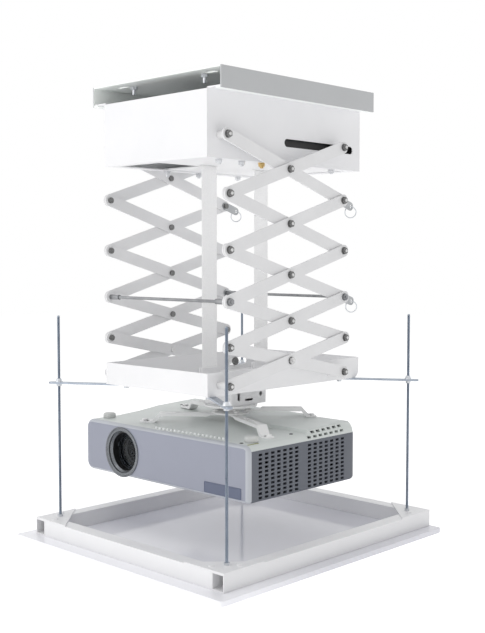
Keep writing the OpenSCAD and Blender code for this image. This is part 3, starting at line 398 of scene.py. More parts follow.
brass = finish_of(
    "brass", brushed,
    {"Tint": (0.72, 0.52, 0.22, 1), "Soil": (0.5, 0.34, 0.14, 1), "Stretch": (1, 1, 0.1), "Grain": 1200.0,
     "Soiling": 0.5, "Roughness Low": 0.28, "Roughness High": 0.42},
    bump=(0.08, 0.0002), metallic=1.0)
bright_zinc = finish_of(
    "bright_zinc", brushed,
    {"Tint": (0.74, 0.75, 0.77, 1), "Soil": (0.5, 0.51, 0.54, 1), "Stretch": (1, 1, 0.1), "Grain": 1200.0,
     "Soiling": 0.5, "Roughness Low": 0.25, "Roughness High": 0.4},
    bump=(0.08, 0.0002), metallic=0.6)
screw_low, screw_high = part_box("chassis_screws")
bolt_inset, lip_rise = 0.0042, 0.0026
screw_x = screw_high.x - bolt_inset
lip_z = screw_low.z + lip_rise
lip_bolts, brass_bolt = bmesh.new(), bmesh.new()
for shape, side, y, drop in (
        (lip_bolts, 1, -0.15, 0.0085), (lip_bolts, 1, -0.1, 0.0085), (brass_bolt, 1, -0.0548, 0.0085),
        (lip_bolts, 1, 0.02, 0.0075), (lip_bolts, 1, 0.12, 0.0075), (lip_bolts, -1, -0.0548, 0.0105),
        (lip_bolts, -1, 0.02, 0.0085), (lip_bolts, -1, 0.12, 0.0075)):
    spot = lambda u, v, t: (side * screw_x + u, y + v, lip_z + t)
    washer = [(0, 0), (0.0058, 0), (0.006, -0.0002), (0.006, -0.001), (0.0058, -0.0012), (0, -0.0012)]
    nut = [(0, -0.0012), (0.005, -0.0012), (0.0054, -0.0015), (0.0054, -0.0055), (0.0048, -0.006),
           (0, -0.006)]
    shank = [(0, -0.006), (0.003, -0.006), (0.003, -drop + 0.0005), (0.0025, -drop), (0, -drop)]
    head = [(0, 0.004), (0.0038, 0.004), (0.0038, 0.0052), (0.0026, 0.0064), (0, 0.0066)]
    for profile, sides in ((washer, 24), (nut, 6), (shank, 20), (head, 20)):
        lathe(shape, profile, sides, spot)
lip_piece = piece_of(lip_bolts, "lip_bolts", bright_zinc, "housing")
piece_of(brass_bolt, "brass_lip_bolt", brass, "housing")
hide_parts("chassis_screws")


# The pivot bolts have dark oiled nuts with a bright bolt end in the middle of each. Those in the
# housing's and the tray's walls carry a white nylon spacer up to the bar.
def two_tone_bolt(name, tip_from, spacer_from=1.0, spacer_to=0.0):
    """Dark nut and head, bright metal beyond tip_from, and white between the spacer's ends."""
    made, tree = new_material(name)
    off_middle = math_of(tree, "ABSOLUTE", object_place(tree)[0])
    tip = math_of(tree, "GREATER_THAN", off_middle, tip_from)
    nylon = math_of(tree, "MULTIPLY", math_of(tree, "GREATER_THAN", off_middle, spacer_from),
                    math_of(tree, "LESS_THAN", off_middle, spacer_to))
    where = add(tree, "TexCoord").outputs["Object"]
    oil = add(tree, "TexNoise", {"Vector": where, "Scale": 420.0, "Detail": 3.0}).outputs[0]
    dark = between(tree, oil, 0.13, 0.24, 0.3, 0.7)
    bright = between(tree, oil, 0.5, 0.72, 0.3, 0.7)
    white = between(tree, oil, 0.72, 0.84)
    colour = blend(tree, nylon, blend(tree, tip, dark, bright), white)
    relief = add(tree, "Bump", {"Height": oil, "Strength": 0.1, "Distance": 0.0003})
    shader = add(tree, "BsdfPrincipled", {"Base Color": colour, "Metallic": between(tree, nylon, 0.85, 0.0),
                                          "Roughness": between(tree, oil, 0.3, 0.48),
                                          "Normal": relief.outputs[0]})
    add(tree, "OutputMaterial", {"Surface": shader.outputs[0]})
    return made


bolt_edge, wall_outside = 0.0003, 0.1226
plain_bolt = two_tone_bolt("oiled_bolt", 0.1501)
for bolts in ("level_1_bolts", "level_2_bolts", "level_4_bolts", "stage_1_bolts", "stage_2_bolts",
              "stage_3_bolts", "stage_4_bolts"):
    dress(bolts, plain_bolt, bolt_edge)
for bolts, name, tip_from, spacer_to in (
        ("upper_pivot_bolts", "upper_wall_bolt", 0.1466, 0.1383),
        ("lower_pivot_bolts", "lower_wall_bolt", 0.1501, 0.1418),
        ("upper_slide_pins", "upper_slide_bolt", 0.1501, 0.1418),
        ("stage_5_bolts", "lower_slide_bolt", 0.1466, 0.1382)):
    dress(bolts, two_tone_bolt(name, tip_from, wall_outside, spacer_to), bolt_edge)


# The scissor bars are flat steel strip with round ends, in a slightly greyer enamel that has
# worn a little where the bars rub on each other.
bar_enamel = finish_of(
    "bar_enamel", orange_peel,
    {"Tint": (0.79, 0.79, 0.80, 1), "Soil": (0.62, 0.62, 0.63, 1), "Grain": 1000.0, "Soiling": 0.4,
     "Roughness Low": 0.36, "Roughness High": 0.5},
    bump=(0.12, 0.0004), Coat_Weight=0.05)
for stage in range(1, 6):
    dress("falling_bars_%d" % stage, bar_enamel, 0.0004)
    dress("rising_bars_%d" % stage, bar_enamel, 0.0004)


# The tie rods are plain steel, duller and greyer than the zinc, and join the left and the right
# bars of a stage. The ring tabs, bolted on at the rear pivots, are a brighter steel.
tie_steel = finish_of(
    "tie_steel", brushed,
    {"Tint": (0.32, 0.325, 0.335, 1), "Soil": (0.18, 0.185, 0.2, 1), "Stretch": (0.05, 1, 1), "Grain": 900.0,
     "Soiling": 0.6, "Roughness Low": 0.3, "Roughness High": 0.5},
    bump=(0.1, 0.0003), metallic=1.0)
tab_steel = finish_of(
    "tab_steel", brushed,
    {"Tint": (0.46, 0.47, 0.48, 1), "Soil": (0.3, 0.31, 0.33, 1), "Stretch": (0.05, 1, 1), "Grain": 900.0,
     "Soiling": 0.6, "Roughness Low": 0.3, "Roughness High": 0.5},
    bump=(0.1, 0.0003), metallic=1.0)
for rod in ("near_tie_rod", "far_tie_rod"):
    dress(rod, tie_steel, 0.0003)
for tabs in ("upper_ring_tabs", "lower_ring_tabs"):
    dress(tabs, tab_steel, 0.0003)


# Two flat belts of white polyester webbing carry the tray. They are woven in a plain weave, with
# a slightly thicker edge, and wind up on the drum as the lift rises.
weave, given, result = shader_group(
    "webbing_weave",
    [("Thread", "Color", (0.9, 0.9, 0.9, 1)), ("Gap", "Color", (0.6, 0.6, 0.6, 1)),
     ("Threads", "Float", 900.0), ("Roughness Low", "Float", 0.7), ("Roughness High", "Float", 0.85)])
where = add(weave, "TexCoord").outputs["Object"]
scaled = add(weave, "VectorMath", {0: where, 3: given["Threads"]}, operation="SCALE")
turned = add(weave, "SeparateXYZ", {0: scaled.outputs[0]})
warp = math_of(weave, "SINE", turned.outputs[1])
weft = math_of(weave, "SINE", turned.outputs[2])
lifted = between(weave, math_of(weave, "MULTIPLY", warp, weft), 0.0, 1.0, -1.0, 1.0)
fuzz = add(weave, "TexNoise", {"Vector": where, "Scale": 500.0, "Detail": 3.0}).outputs[0]
depth = math_of(weave, "ADD", lifted, fuzz)
tone = blend(weave, between(weave, depth, 0.0, 1.0, 0.55, 1.1), given["Gap"], given["Thread"])
sheen = between(weave, fuzz, given["Roughness Low"], given["Roughness High"])
put_out(weave, result, tone, sheen, depth)
belt_webbing = finish_of(
    "belt_webbing", weave,
    {"Thread": (0.97, 0.97, 0.97, 1), "Gap": (0.86, 0.86, 0.87, 1), "Threads": 4200.0, "Roughness Low": 0.65,
     "Roughness High": 0.8},
    bump=(0.25, 0.0003), Subsurface_Weight=0.7, Subsurface_Radius=(0.006, 0.006, 0.006), Subsurface_Scale=1.0)
strap_thick, strap_rows = 0.0012, 60
for belt in ("front_belt", "rear_belt"):
    low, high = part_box(belt)
    middle, half = (low.y + high.y) / 2, (high.y - low.y) / 2
    selvedge = [(0.00015, -half + 0.0032), (0, -half + 0.002), (0.0001, -half + 0.0008), (0.0006, -half),
                (0.0011, -half + 0.0008), (0.0012, -half + 0.002), (0.00105, -half + 0.0032)]
    across = selvedge + [(strap_thick - x, -y) for x, y in selvedge]
    strap = bmesh.new()
    rows = [low.z + (high.z - low.z) * i / strap_rows for i in range(strap_rows + 1)]
    skin(strap, [[strap.verts.new((low.x + x, middle + y, z)) for x, y in across] for z in rows])
    piece = piece_of(strap, belt + "_webbing", belt_webbing, "housing", 60.0)
    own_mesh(piece)
    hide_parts(belt)


# The tubular motor is a grey enamelled tube that turns the belt drum inside the housing. The
# control box beside it is moulded in ivory plastic and stands on the chassis plate.
motor_enamel = finish_of(
    "motor_enamel", orange_peel,
    {"Tint": (0.1, 0.1, 0.11, 1), "Soil": (0.16, 0.16, 0.17, 1), "Grain": 700.0, "Soiling": 0.5,
     "Roughness Low": 0.35, "Roughness High": 0.55},
    bump=(0.15, 0.0004))
dress("tubular_motor", motor_enamel, 0.0005)
ivory_plastic = finish_of(
    "ivory_plastic", orange_peel,
    {"Tint": (0.78, 0.76, 0.7, 1), "Soil": (0.66, 0.64, 0.58, 1), "Grain": 2200.0, "Soiling": 0.3,
     "Roughness Low": 0.5, "Roughness High": 0.62},
    bump=(0.2, 0.0003))
dress("control_box", ivory_plastic, 0.0015, 3)


# The tray is a folded sheet with a rolled rear edge. The folded neck box under it and the belt
# clamps in it are sheet in the same coat.
for part in ("tray", "neck_box", "belt_clamps"):
    dress(part, powder_coat, 0.0004)


# Four flat arms reach out from under the tray's corners. Each holds a threaded rod between a
# cone nut and a hexagonal nut, and the rods carry the closure. All are blued, zinc plated steel.
blued_steel = finish_of(
    "blued_steel", brushed,
    {"Tint": (0.36, 0.4, 0.46, 1), "Soil": (0.22, 0.25, 0.3, 1), "Stretch": (1, 1, 1), "Grain": 900.0,
     "Soiling": 0.5, "Roughness Low": 0.26, "Roughness High": 0.42},
    bump=(0.06, 0.0002), metallic=1.0)
dress("corner_arms", blued_steel, 0.0003)
low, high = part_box("threaded_rods")
crest, root, pitch, steps, chamfer = 0.0025, 0.00205, 0.0008, 12, 0.85
turns = int((high.z - low.z) / pitch) - 1
rods = bmesh.new()
for sx, sy in ((1, 1), (1, -1), (-1, 1), (-1, -1)):
    at = Vector((sx * (high.x - crest), sy * (high.y - crest), 0))
    ridge, groove = [], []
    for i in range(turns * steps + 1):
        fade = min(1.0, min(i, turns * steps - i) / (2.0 * steps))
        spoke = Vector((math.cos(2 * math.pi * i / steps), math.sin(2 * math.pi * i / steps), 0))
        z = low.z + pitch * i / steps
        ridge.append(rods.verts.new(at + spoke * (root + (crest - root) * fade) + Vector((0, 0, z))))
        groove.append(rods.verts.new(at + spoke * root + Vector((0, 0, z + pitch / 2))))
    for i in range(turns * steps):
        rods.faces.new((ridge[i], ridge[i + 1], groove[i + 1], groove[i]))
        if i < (turns - 1) * steps:
            rods.faces.new((groove[i], groove[i + 1], ridge[i + 1 + steps], ridge[i + steps]))
    for line, z in ((ridge[:steps], low.z), (groove[-steps:], high.z)):
        end = [rods.verts.new(at + (corner.co - at).xy.to_3d() * chamfer + Vector((0, 0, z)))
               for corner in line]
        for i in range(steps - 1):
            rods.faces.new((line[i], line[i + 1], end[i + 1], end[i]))
        rods.faces.new(end)
bmesh.ops.recalc_face_normals(rods, faces=rods.faces)
rod_piece = piece_of(rods, "rods_with_thread", blued_steel, "platform", 50.0)
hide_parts("threaded_rods")


# The closure is a welded frame of square tube with triangular gussets, and a laminate panel
# glued under it. The panel's white is painted darker towards the rear right, as a painted shadow
# of the projector.
for part in ("side_rails", "cross_rails", "corner_gussets"):
    dress(part, powder_coat, 0.0005)
laminate = finish_of(
    "panel_laminate", orange_peel,
    {"Soil": (0.81, 0.81, 0.86, 1), "Grain": 60.0, "Soiling": 0.25, "Roughness Low": 0.09,
     "Roughness High": 0.13},
    bump=(0.02, 0.0003))
tree = laminate.node_tree
panel_at = object_place(tree)
towards_rear = math_of(tree, "ADD", panel_at[1], math_of(tree, "MULTIPLY", panel_at[0], 0.5))
# Painted shadow: the panel's colour darkens towards the rear right, where the projector's shadow falls.
painted_shadow_share = between(tree, towards_rear, 0.0, 1.0, -0.1, 0.08)
feed(laminate, "Tint", blend(tree, painted_shadow_share, (0.95, 0.95, 0.99, 1), (0.74, 0.74, 0.79, 1)))
dress("closure_panel", laminate, 0.0008, 3)


# The mount is stamped sheet with the tray's coat: a round hub on the neck's swivel bolt, and four
# slotted arms whose feet are screwed to the projector's underside, which faces up.
mount_coat = finish_of(
    "mount_coat", orange_peel,
    {"Tint": (0.93, 0.93, 0.93, 1), "Soil": (0.8, 0.81, 0.82, 1), "Grain": 800.0, "Soiling": 0.45,
     "Roughness Low": 0.3, "Roughness High": 0.45},
    bump=(0.15, 0.0004), Coat_Weight=0.15)
dress("mount_hub", mount_coat, 0.0006, 3)
hub_low, hub_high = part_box("mount_hub")
hub_y = (hub_low.y + hub_high.y) / 2
base_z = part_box("projector_case")[1].z
hub_bottom, hub_top, pin_height = 0.0172, 0.0202, 0.0252
spider = bmesh.new()
lathe(spider, [(0, hub_bottom), (0.0325, hub_bottom), (0.033, hub_bottom + 0.0005), (0.033, hub_top - 0.0005),
               (0.0325, hub_top), (0, hub_top)], 64, lambda u, v, t: (u, hub_y + v, base_z + t))
block(spider, (-0.0136, hub_y - 0.004, base_z + 0.0195), (0.0136, hub_y + 0.004, base_z + pin_height))
barrel = [(0, -0.0136), (0.0045, -0.0136), (0.0045, 0.0136), (0, 0.0136)]
pin = [(0, -0.0187), (0.0038, -0.0187), (0.004, -0.0185), (0.004, -0.0174), (0.003, -0.0174),
       (0.003, 0.0174), (0.004, 0.0174), (0.004, 0.0185), (0.0038, 0.0187), (0, 0.0187)]
for profile in (barrel, pin):
    lathe(spider, profile, 32, lambda u, v, t: (t, hub_y + u, base_z + pin_height + v))
arm_half, slot_half, sheet, flange = 0.0085, 0.0028, 0.003, 0.0012
# Each arm: its foot from the hub's middle, the base's swell there, its level, bend and start, and
# whether its flanges stand up
arms = ((0.15, -0.066, 0, 0.0171, 0.82, 0.0165, False), (-0.112, -0.098, 0, 0.0171, 0.82, 0.0165, False),
        (0.098, 0.099, 0.0098, 0.0233, 0.87, 0.024, True), (-0.143, 0.026, 0.0095, 0.0233, 0.76, 0.026, True))
for foot_x, foot_y, rise, level, bend_share, start, upward in arms:
    reach = math.hypot(foot_x, foot_y)
    ahead = Vector((foot_x, foot_y, 0)) / reach
    across = Vector((-ahead.y, ahead.x, 0))
    spot = lambda u, v, t: Vector((0, hub_y, base_z + v)) + ahead * u + across * t
    bend, sole = bend_share * reach, rise + sheet
    end = bend + 0.9 * (level - sole)
    slot_start, slot_end = 0.52 * reach - 0.018, 0.52 * reach + 0.018
    for u0, u1, t0, t1 in ((start, slot_start, -arm_half, arm_half),
                           (slot_start, slot_end, -arm_half, -slot_half),
                           (slot_start, slot_end, slot_half, arm_half),
                           (slot_end, bend, -arm_half, arm_half)):
        prism(spider, [(u0, level), (u1, level), (u1, level - sheet), (u0, level - sheet)], t0, t1, spot)
    prism(spider, [(bend, level), (bend + 0.0012, level), (end + 0.0012, sole), (reach, sole),
                   (reach, sole - sheet), (end - 0.0005, sole - sheet), (bend, level - sheet)],
          -arm_half, arm_half, spot)
    lathe(spider, [(0, sole), (0.008, sole), (0.0085, sole - 0.0005), (0.0085, sole - sheet),
                   (0, sole - sheet)], 32, lambda u, v, t: spot(reach + u, t, v))
    for seat, along_arm in ((sole, reach), (max(level, hub_top), max(0.025, start + 0.0055))):
        lathe(spider, [(0, seat + 0.003), (0.004, seat + 0.003), (0.0045, seat + 0.0024), (0.0045, seat),
                       (0, seat)], 24, lambda u, v, t: spot(along_arm + u, t, v))
    if upward:
        edge = [(0.05, level), (0.054, level + 0.0035), (bend + 0.001, level + 0.0035),
                (end + 0.0015, sole + 0.003), (end + 0.006, sole), (end, sole - 0.002),
                (bend, level - sheet), (0.05, level - sheet)]
    else:
        edge = [(0.034, level), (bend, level), (end, sole), (end, sole - sheet), (end - 0.004, sole - sheet),
                (bend - 0.001, level - 0.0058), (bend - 0.006, level - 0.0058), (0.04, level - 0.0058),
                (0.034, level - sheet)]
    for side in (arm_half + 0.00005, -arm_half + 0.00115):
        prism(spider, edge, side, side - flange, spot)
spider_piece = piece_of(spider, "spider_and_arms", mount_coat, "projector")
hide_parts("mount_arms")


# The projector hangs upside down, so its base faces up. The moulded shell is rounded all round,
# its base swells towards the rear with a low step at the right, and two rows of slots cut its
# right edge over the intake.
case_low, case_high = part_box("projector_case")
base_line = case_high.z - 0.0088
front_round, rear_round = 0.007, 0.013
corner_rounds = {(1, 1): 0.012, (-1, 1): 0.015, (-1, -1): 0.015, (1, -1): 0.006}
left_swell = ((-0.2, 0), (-0.09, 0), (-0.042, 0.003), (0.003, 0.008), (0.108, 0.0125))
right_swell = ((-0.2, 0), (-0.06, 0), (-0.0125, 0.0018), (-0.009, 0.0066), (0.02, 0.0085), (0.108, 0.01))
step_x, step_width = 0.072, 0.016
corner_points, base_points = 9, 40


def swell(x, y):
    """How far the base stands above the height of its front edge at x, y."""
    heights = []
    for line in (left_swell, right_swell):
        (y0, h0), (y1, h1) = next((a, b) for a, b in zip(line, line[1:]) if y <= b[0] or b == line[-1])
        heights.append(h0 + (h1 - h0) * min(1, (y - y0) / (y1 - y0)))
    share = max(0, min(1, (x - step_x) / step_width))
    share = share * share * (3 - 2 * share)
    return heights[0] * (1 - share) + heights[1] * share


def case_section(shape, y, inset):
    """Adds the shell's ring of points at y, drawn in by inset, from its right base corner round."""
    middle_x, middle_z = (case_low.x + case_high.x) / 2, (case_low.z + case_high.z) / 2
    half_w, half_h = (case_high.x - case_low.x) / 2, (case_high.z - case_low.z) / 2
    points = []
    for turn, (sx, sz) in enumerate(((1, 1), (-1, 1), (-1, -1), (1, -1))):
        size = max(corner_rounds[sx, sz], inset + 0.0005)
        for i in range(corner_points):
            angle = math.pi / 2 * (turn + i / (corner_points - 1))
            points.append((middle_x + sx * (half_w - size) + (size - inset) * math.cos(angle),
                           middle_z + sz * (half_h - size) + (size - inset) * math.sin(angle)))
    start, end = points[corner_points - 1], points[corner_points]
    between_corners = [(start[0] + (end[0] - start[0]) * i / base_points, start[1])
                       for i in range(1, base_points)]
    points[corner_points:corner_points] = between_corners
    ring = []
    for x, z in points:
        share = max(0, min(1, (z - base_line) / (case_high.z - base_line)))
        ring.append(shape.verts.new((x, y, z + swell(x, y) * share)))
    return ring


shell = bmesh.new()
rings = []
for i in range(7):
    angle = math.pi / 12 * i
    rings.append(case_section(shell, case_low.y + front_round * (1 - math.cos(angle)),
                              front_round * (1 - math.sin(angle))))
for y in (-0.135, -0.12, -0.105, -0.09, -0.07, -0.055, -0.042, -0.03, -0.02, -0.0125, -0.0115, -0.01,
          -0.009, -0.004, 0.003, 0.02, 0.035, 0.05, 0.065, 0.08):
    rings.append(case_section(shell, y, 0))
for i in range(9):
    angle = math.pi / 16 * i
    rings.append(case_section(shell, case_high.y - rear_round * (1 - math.sin(angle)),
                              rear_round * (1 - math.cos(angle))))
skin(shell, rings)
shell_mesh = bpy.data.meshes.new("case_block")
shell.to_mesh(shell_mesh)
shell.free()
shell_block = bpy.data.objects.new("case_block", shell_mesh)
bpy.context.scene.collection.objects.link(shell_block)
ring_low, ring_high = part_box("focus_ring")
lens_x, lens_z = (ring_low.x + ring_high.x) / 2, (ring_low.z + ring_high.z) / 2
hollow, upper_hollow = bmesh.new(), bmesh.new()
wall = Vector((0.005, 0.005, 0.005))
block(hollow, case_low + wall, case_high - wall)
block(upper_hollow, (0.1, -0.006, case_high.z - 0.02), (case_high.x - 0.0092, 0.092, case_high.z + 0.0052))
openings = bmesh.new()
grille_low, grille_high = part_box("vent_grille")
past_side = case_high.x + 0.01
block(openings, (case_high.x - 0.008, grille_low.y, grille_low.z), (past_side, grille_high.y, grille_high.z))
slot_pitch, slot_half_y, slot_half_z = 0.0137, 0.0042, 0.0019
# Each row of slots: its number of slots, the first one's y and height over the base's edge, the
# rise from one to the next, and the depth of the cut
for count, first_y, height, rise, cut_depth in ((6, -0.0005, 0.0028, 0.0004, 0.014),
                                                (7, -0.0115, -0.0041, 0.00025, 0.0095)):
    for i in range(count):
        y, z = first_y + slot_pitch * i, case_high.z + height + rise * i
        block(openings, (case_high.x - cut_depth, y - slot_half_y, z - slot_half_z),
              (past_side, y + slot_half_y, z + slot_half_z))
lathe(openings, [(0, -0.01), (0.0382, -0.01), (0.0382, 0.01), (0, 0.01)], 96,
      lambda u, v, t: (lens_x + u, case_low.y + t, lens_z + v))
for foot in ("left_foot", "right_foot"):
    middle = sum(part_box(foot), Vector()) / 2
    lathe(openings, [(0, -0.01), (0.0041, -0.01), (0.0041, 0.01), (0, 0.01)], 32,
          lambda u, v, t: (middle.x + u, middle.y + v, case_high.z + t))
knives = []
for name, shape in (("case_hollow", hollow), ("upper_hollow", upper_hollow), ("case_openings", openings)):
    knife_mesh = bpy.data.meshes.new(name)
    shape.to_mesh(knife_mesh)
    shape.free()
    knife = bpy.data.objects.new(name, knife_mesh)
    bpy.context.scene.collection.objects.link(knife)
    knives.append(knife)
    cut = shell_block.modifiers.new(name, "BOOLEAN")
    cut.object, cut.operation, cut.solver = knife, "DIFFERENCE", "EXACT"
bpy.context.view_layer.update()
cut_mesh = bpy.data.meshes.new_from_object(shell_block.evaluated_get(bpy.context.evaluated_depsgraph_get()))
shell = bmesh.new()
shell.from_mesh(cut_mesh)
for spare in knives + [shell_block]:
    bpy.data.objects.remove(spare)
bmesh.ops.remove_doubles(shell, verts=shell.verts, dist=1e-6)

# The front is lavender grey with a fine spark texture, and the rounded edge round it is painted paler
# as a painted highlight. The base is a duller green grey that wraps over its right edge, and the
# right side is slate.
case_plastic = finish_of(
    "case_plastic", orange_peel,
    {"Grain": 1800.0, "Soiling": 0.4, "Roughness Low": 0.3, "Roughness High": 0.42},
    bump=(0.2, 0.0003))
tree = case_plastic.node_tree
case_at = object_place(tree)
off_front = math_of(tree, "GREATER_THAN", case_at[1], case_low.y + 0.0005)
# The band round the front edge gets a paler colour: a painted highlight on the rounded edge.
past_rim_highlight = math_of(tree, "GREATER_THAN", case_at[1], case_low.y + 0.0076)
at_right = math_of(tree, "GREATER_THAN", case_at[0], case_high.x - 0.0125)
beside_right = math_of(tree, "GREATER_THAN", case_at[0], case_high.x - 0.006)
off_face = math_of(tree, "MAXIMUM", off_front, beside_right)
at_base = math_of(tree, "GREATER_THAN", case_at[2], base_line)
for label, front, rim, right, base in (
        ("Tint", (0.31, 0.325, 0.395, 1), (0.5, 0.52, 0.56, 1), (0.1, 0.11, 0.135, 1),
         (0.63, 0.665, 0.65, 1)),
        ("Soil", (0.28, 0.295, 0.355, 1), (0.45, 0.47, 0.51, 1), (0.08, 0.088, 0.11, 1),
         (0.55, 0.585, 0.57, 1))):
    wrapped = blend(tree, at_base, blend(tree, at_right, front, right), base)
    rim_highlighted = blend(tree, past_rim_highlight, rim, wrapped)
    feed(case_plastic, label, blend(tree, off_face, front, rim_highlighted))
shell_piece = piece_of(shell, "projector_shell", case_plastic, "projector", 28.0)
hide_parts("projector_case")


# A dark plastic plate sits low on the front beside the right corner. It is shallow and raised,
# with a dished face, and is pressed into the front.
badge_plastic = finish_of(
    "badge_plastic", orange_peel,
    {"Tint": (0.1, 0.12, 0.19, 1), "Soil": (0.14, 0.16, 0.23, 1), "Grain": 900.0, "Soiling": 0.5,
     "Roughness Low": 0.25, "Roughness High": 0.4},
    bump=(0.08, 0.0002))
badge = bmesh.new()


def rounded(width, height, radius, sides=4):
    """Corner points of a rectangle with round corners, about the origin."""
    points = []
    for turn, (sx, sy) in enumerate(((1, 1), (-1, 1), (-1, -1), (1, -1))):
        for i in range(sides + 1):
            angle = math.pi / 2 * (turn + i / sides)
            points.append((sx * (width / 2 - radius) + radius * math.cos(angle),
                           sy * (height / 2 - radius) + radius * math.sin(angle)))
    return points


def raised_plate(shape, outline, heights, shrinks, place):
    """Adds a closed plate that steps up through heights while its outline shrinks about its middle."""
    rings = []
    for height, shrink in zip(heights, shrinks):
        rings.append([shape.verts.new(place(u - math.copysign(min(abs(u), shrink), u),
                                            v - math.copysign(min(abs(v), shrink), v), height))
                      for u, v in outline])
    skin(shape, rings)


raised_plate(badge, rounded(0.081, 0.0175, 0.0015), (-0.0004, 0.0006, 0.0009, 0.0009, 0.0005, 0.0005),
             (0, 0, 0.0003, 0.0012, 0.0016, 0.002),
             lambda u, v, t: (0.1235 + u, case_low.y - t, -0.6415 + v))
piece_of(badge, "bare_badge_plate", badge_plastic, "projector")


# Small details stand on the base: a moulded row of grip ridges along the front edge, three sunk
# dark screws, and a narrow olive paper strip glued on at the front right corner.
# The ridges are coloured much paler than the base they are moulded in: a painted highlight on them.
ridge_highlight_plastic = finish_of(
    "ridge_highlight_plastic", orange_peel,
    {"Tint": (0.9, 0.92, 0.92, 1), "Soil": (0.78, 0.8, 0.8, 1), "Grain": 1800.0, "Soiling": 0.4,
     "Roughness Low": 0.3, "Roughness High": 0.42},
    bump=(0.2, 0.0003))
ridge_count, row_start, row_run = 18, Vector((-0.046, -0.141)), Vector((0.153, 0.005))
ridges = bmesh.new()
for i in range(ridge_count):
    x, y = row_start + row_run * i / (ridge_count - 1)
    raised_plate(ridges, rounded(0.0052, 0.003, 0.0012, 3), (-0.0006, 0.0022, 0.003), (0, 0.0002, 0.0009),
                 lambda u, v, t: (x + u, y + v, case_high.z + t))
piece_of(ridges, "base_ridges", ridge_highlight_plastic, "projector")

dark_screw = finish_of(
    "dark_screw", brushed,
    {"Tint": (0.08, 0.08, 0.085, 1), "Soil": (0.04, 0.04, 0.045, 1), "Stretch": (1, 1, 1), "Grain": 900.0,
     "Soiling": 0.5, "Roughness Low": 0.3, "Roughness High": 0.5},
    bump=(0.1, 0.0002), metallic=0.8)
screws = bmesh.new()
for x, y in ((0.151, -0.141), (0.155, -0.031), (-0.17, 0.03)):
    lathe(screws, [(0, -0.0004), (0.0031, -0.0004), (0.0031, 0.0004), (0.0025, 0.0008), (0.0012, 0.0008),
                   (0.0009, 0.0001), (0, 0.0001)], 20,
          lambda u, v, t: (x + u, y + v, case_high.z + swell(x, y) + t))
piece_of(screws, "base_screws", dark_screw, "projector")

olive_paper = finish_of(
    "olive_paper", orange_peel,
    {"Tint": (0.3, 0.31, 0.14, 1), "Soil": (0.38, 0.38, 0.2, 1), "Grain": 1500.0, "Soiling": 0.6,
     "Roughness Low": 0.5, "Roughness High": 0.65},
    bump=(0.1, 0.0002))
strip = bmesh.new()
block(strip, (0.1665, -0.1455, case_high.z - 0.0012), (0.1695, -0.1215, case_high.z + 0.0002))
piece_of(strip, "corner_strip", olive_paper, "projector")


# The intake on the right side is a dark moulded panel with two blocks of small square holes. It
# fills an opening of the shell.
vent_plastic = finish_of(
    "vent_plastic", orange_peel,
    {"Tint": (0.1, 0.11, 0.135, 1), "Soil": (0.08, 0.088, 0.11, 1), "Grain": 1800.0, "Soiling": 0.4,
     "Roughness Low": 0.4, "Roughness High": 0.55},
    bump=(0.2, 0.0003))
dress("vent_grille", vent_plastic)


# The two adjusting feet are light grey plastic knobs with a fluted rim. Their stems screw into
# the base.
foot_plastic = finish_of(
    "foot_plastic", orange_peel,
    {"Tint": (0.62, 0.63, 0.62, 1), "Soil": (0.5, 0.51, 0.5, 1), "Grain": 1500.0, "Soiling": 0.4,
     "Roughness Low": 0.45, "Roughness High": 0.6},
    bump=(0.15, 0.0003))
knob_high, around, flute_depth = 0.009, 96, 0.035
for foot in ("left_foot", "right_foot"):
    low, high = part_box(foot)
    middle, radius = (low + high) / 2, (high.x - low.x) / 2
    knob = bmesh.new()
    levels = [(0.55, 0.0), (0.93, 0.0), (0.97, 0.0006), (1.0, 0.0012), (1.0, 0.0062), (0.96, 0.0074),
              (0.8, 0.0086), (0.45, knob_high)]
    rings = []
    for share, up in levels:
        ring = []
        for i in range(around):
            flute = flute_depth * (0.5 + 0.5 * math.cos(2 * math.pi * i / 4)) if 0.94 < share else 0.0
            angle = 2 * math.pi * i / around
            reach = radius * (share - flute)
            ring.append(knob.verts.new((middle.x + reach * math.cos(angle),
                                        middle.y + reach * math.sin(angle), high.z - knob_high + up)))
        rings.append(ring)
    skin(knob, rings)
    stem_top = high.z - 0.0088
    lathe(knob, [(0, low.z), (0.0032, low.z), (0.004, low.z + 0.0008), (0.004, stem_top), (0, stem_top)], 24,
          lambda u, v, t: (middle.x + u, middle.y + v, t))
    fluted = piece_of(knob, foot + "_knob", foot_plastic, foot + "_screw")
    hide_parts(foot)


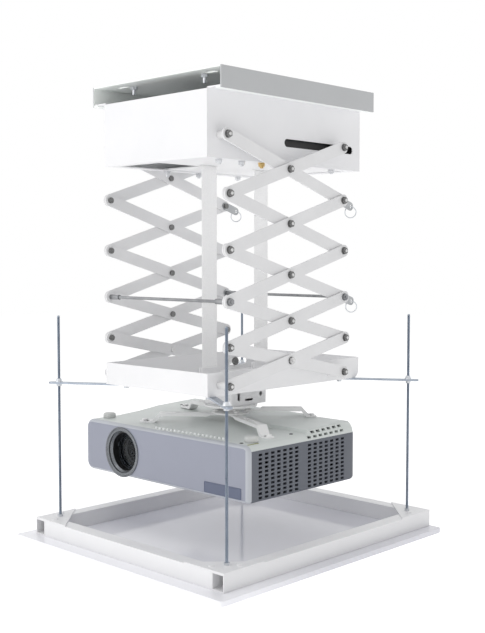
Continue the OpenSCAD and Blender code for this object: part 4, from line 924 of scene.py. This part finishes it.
# The lens sits in a satin silver ring with a concave face, which turns to focus. Behind the
# coated front glass are black stepped baffles and a second element.
lens_black = finish_of(
    "lens_black", orange_peel,
    {"Tint": (0.012, 0.012, 0.013, 1), "Soil": (0.022, 0.022, 0.025, 1), "Grain": 1500.0, "Soiling": 0.5,
     "Roughness Low": 0.4, "Roughness High": 0.55},
    bump=(0.1, 0.0002))
dress("lens_barrel", lens_black)
lens_trim = finish_of(
    "lens_trim", brushed,
    {"Tint": (0.19, 0.2, 0.215, 1), "Soil": (0.13, 0.14, 0.155, 1), "Stretch": (1, 0.1, 1), "Grain": 1500.0,
     "Soiling": 0.4, "Roughness Low": 0.22, "Roughness High": 0.34},
    bump=(0.08, 0.0002), metallic=0.55)
in_front = lambda u, v, t: (lens_x + u, case_low.y + t, lens_z + v)
ring = bmesh.new()
lathe(ring, [(0.036, 0.0068), (0.036, -0.0002), (0.0423, -0.0002), (0.0428, -0.0007), (0.0428, -0.0014),
             (0.0423, -0.0019), (0.0413, -0.002), (0.0408, -0.0017), (0.0404, -0.001), (0.039, 0.0001),
             (0.0375, 0.0014), (0.036, 0.003), (0.0345, 0.0049), (0.0331, 0.0067), (0.0331, 0.0068)], 96,
      in_front, closed=True)
silver_ring = piece_of(ring, "silver_focus_ring", lens_trim, "focus", 32.0)
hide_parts("focus_ring")

baffles = bmesh.new()
lathe(baffles, [(0.0321, 0.0205), (0.0321, 0.0218), (0.0285, 0.0222), (0.0285, 0.0262), (0.0255, 0.0266),
                (0.0255, 0.0318), (0.0225, 0.0322), (0.0225, 0.045), (0.0321, 0.045)], 72, in_front,
      closed=True)
piece_of(baffles, "lens_baffles", lens_black, "projector")

coated_glass = finish_of(
    "coated_glass", orange_peel,
    {"Tint": (0.75, 0.8, 0.86, 1), "Soil": (0.8, 0.85, 0.9, 1), "Grain": 40.0, "Soiling": 0.3,
     "Roughness Low": 0.02, "Roughness High": 0.04},
    bump=(0.0, 0.0001), Transmission_Weight=1.0, IOR=1.18)
dress("lens_glass", coated_glass)
inner = bmesh.new()
lathe(inner, [(0, 0.0333), (0.006, 0.0335), (0.012, 0.0341), (0.018, 0.0352), (0.0222, 0.0365),
              (0.0222, 0.039), (0, 0.039)], 72, in_front)
piece_of(inner, "inner_lens", coated_glass, "projector")
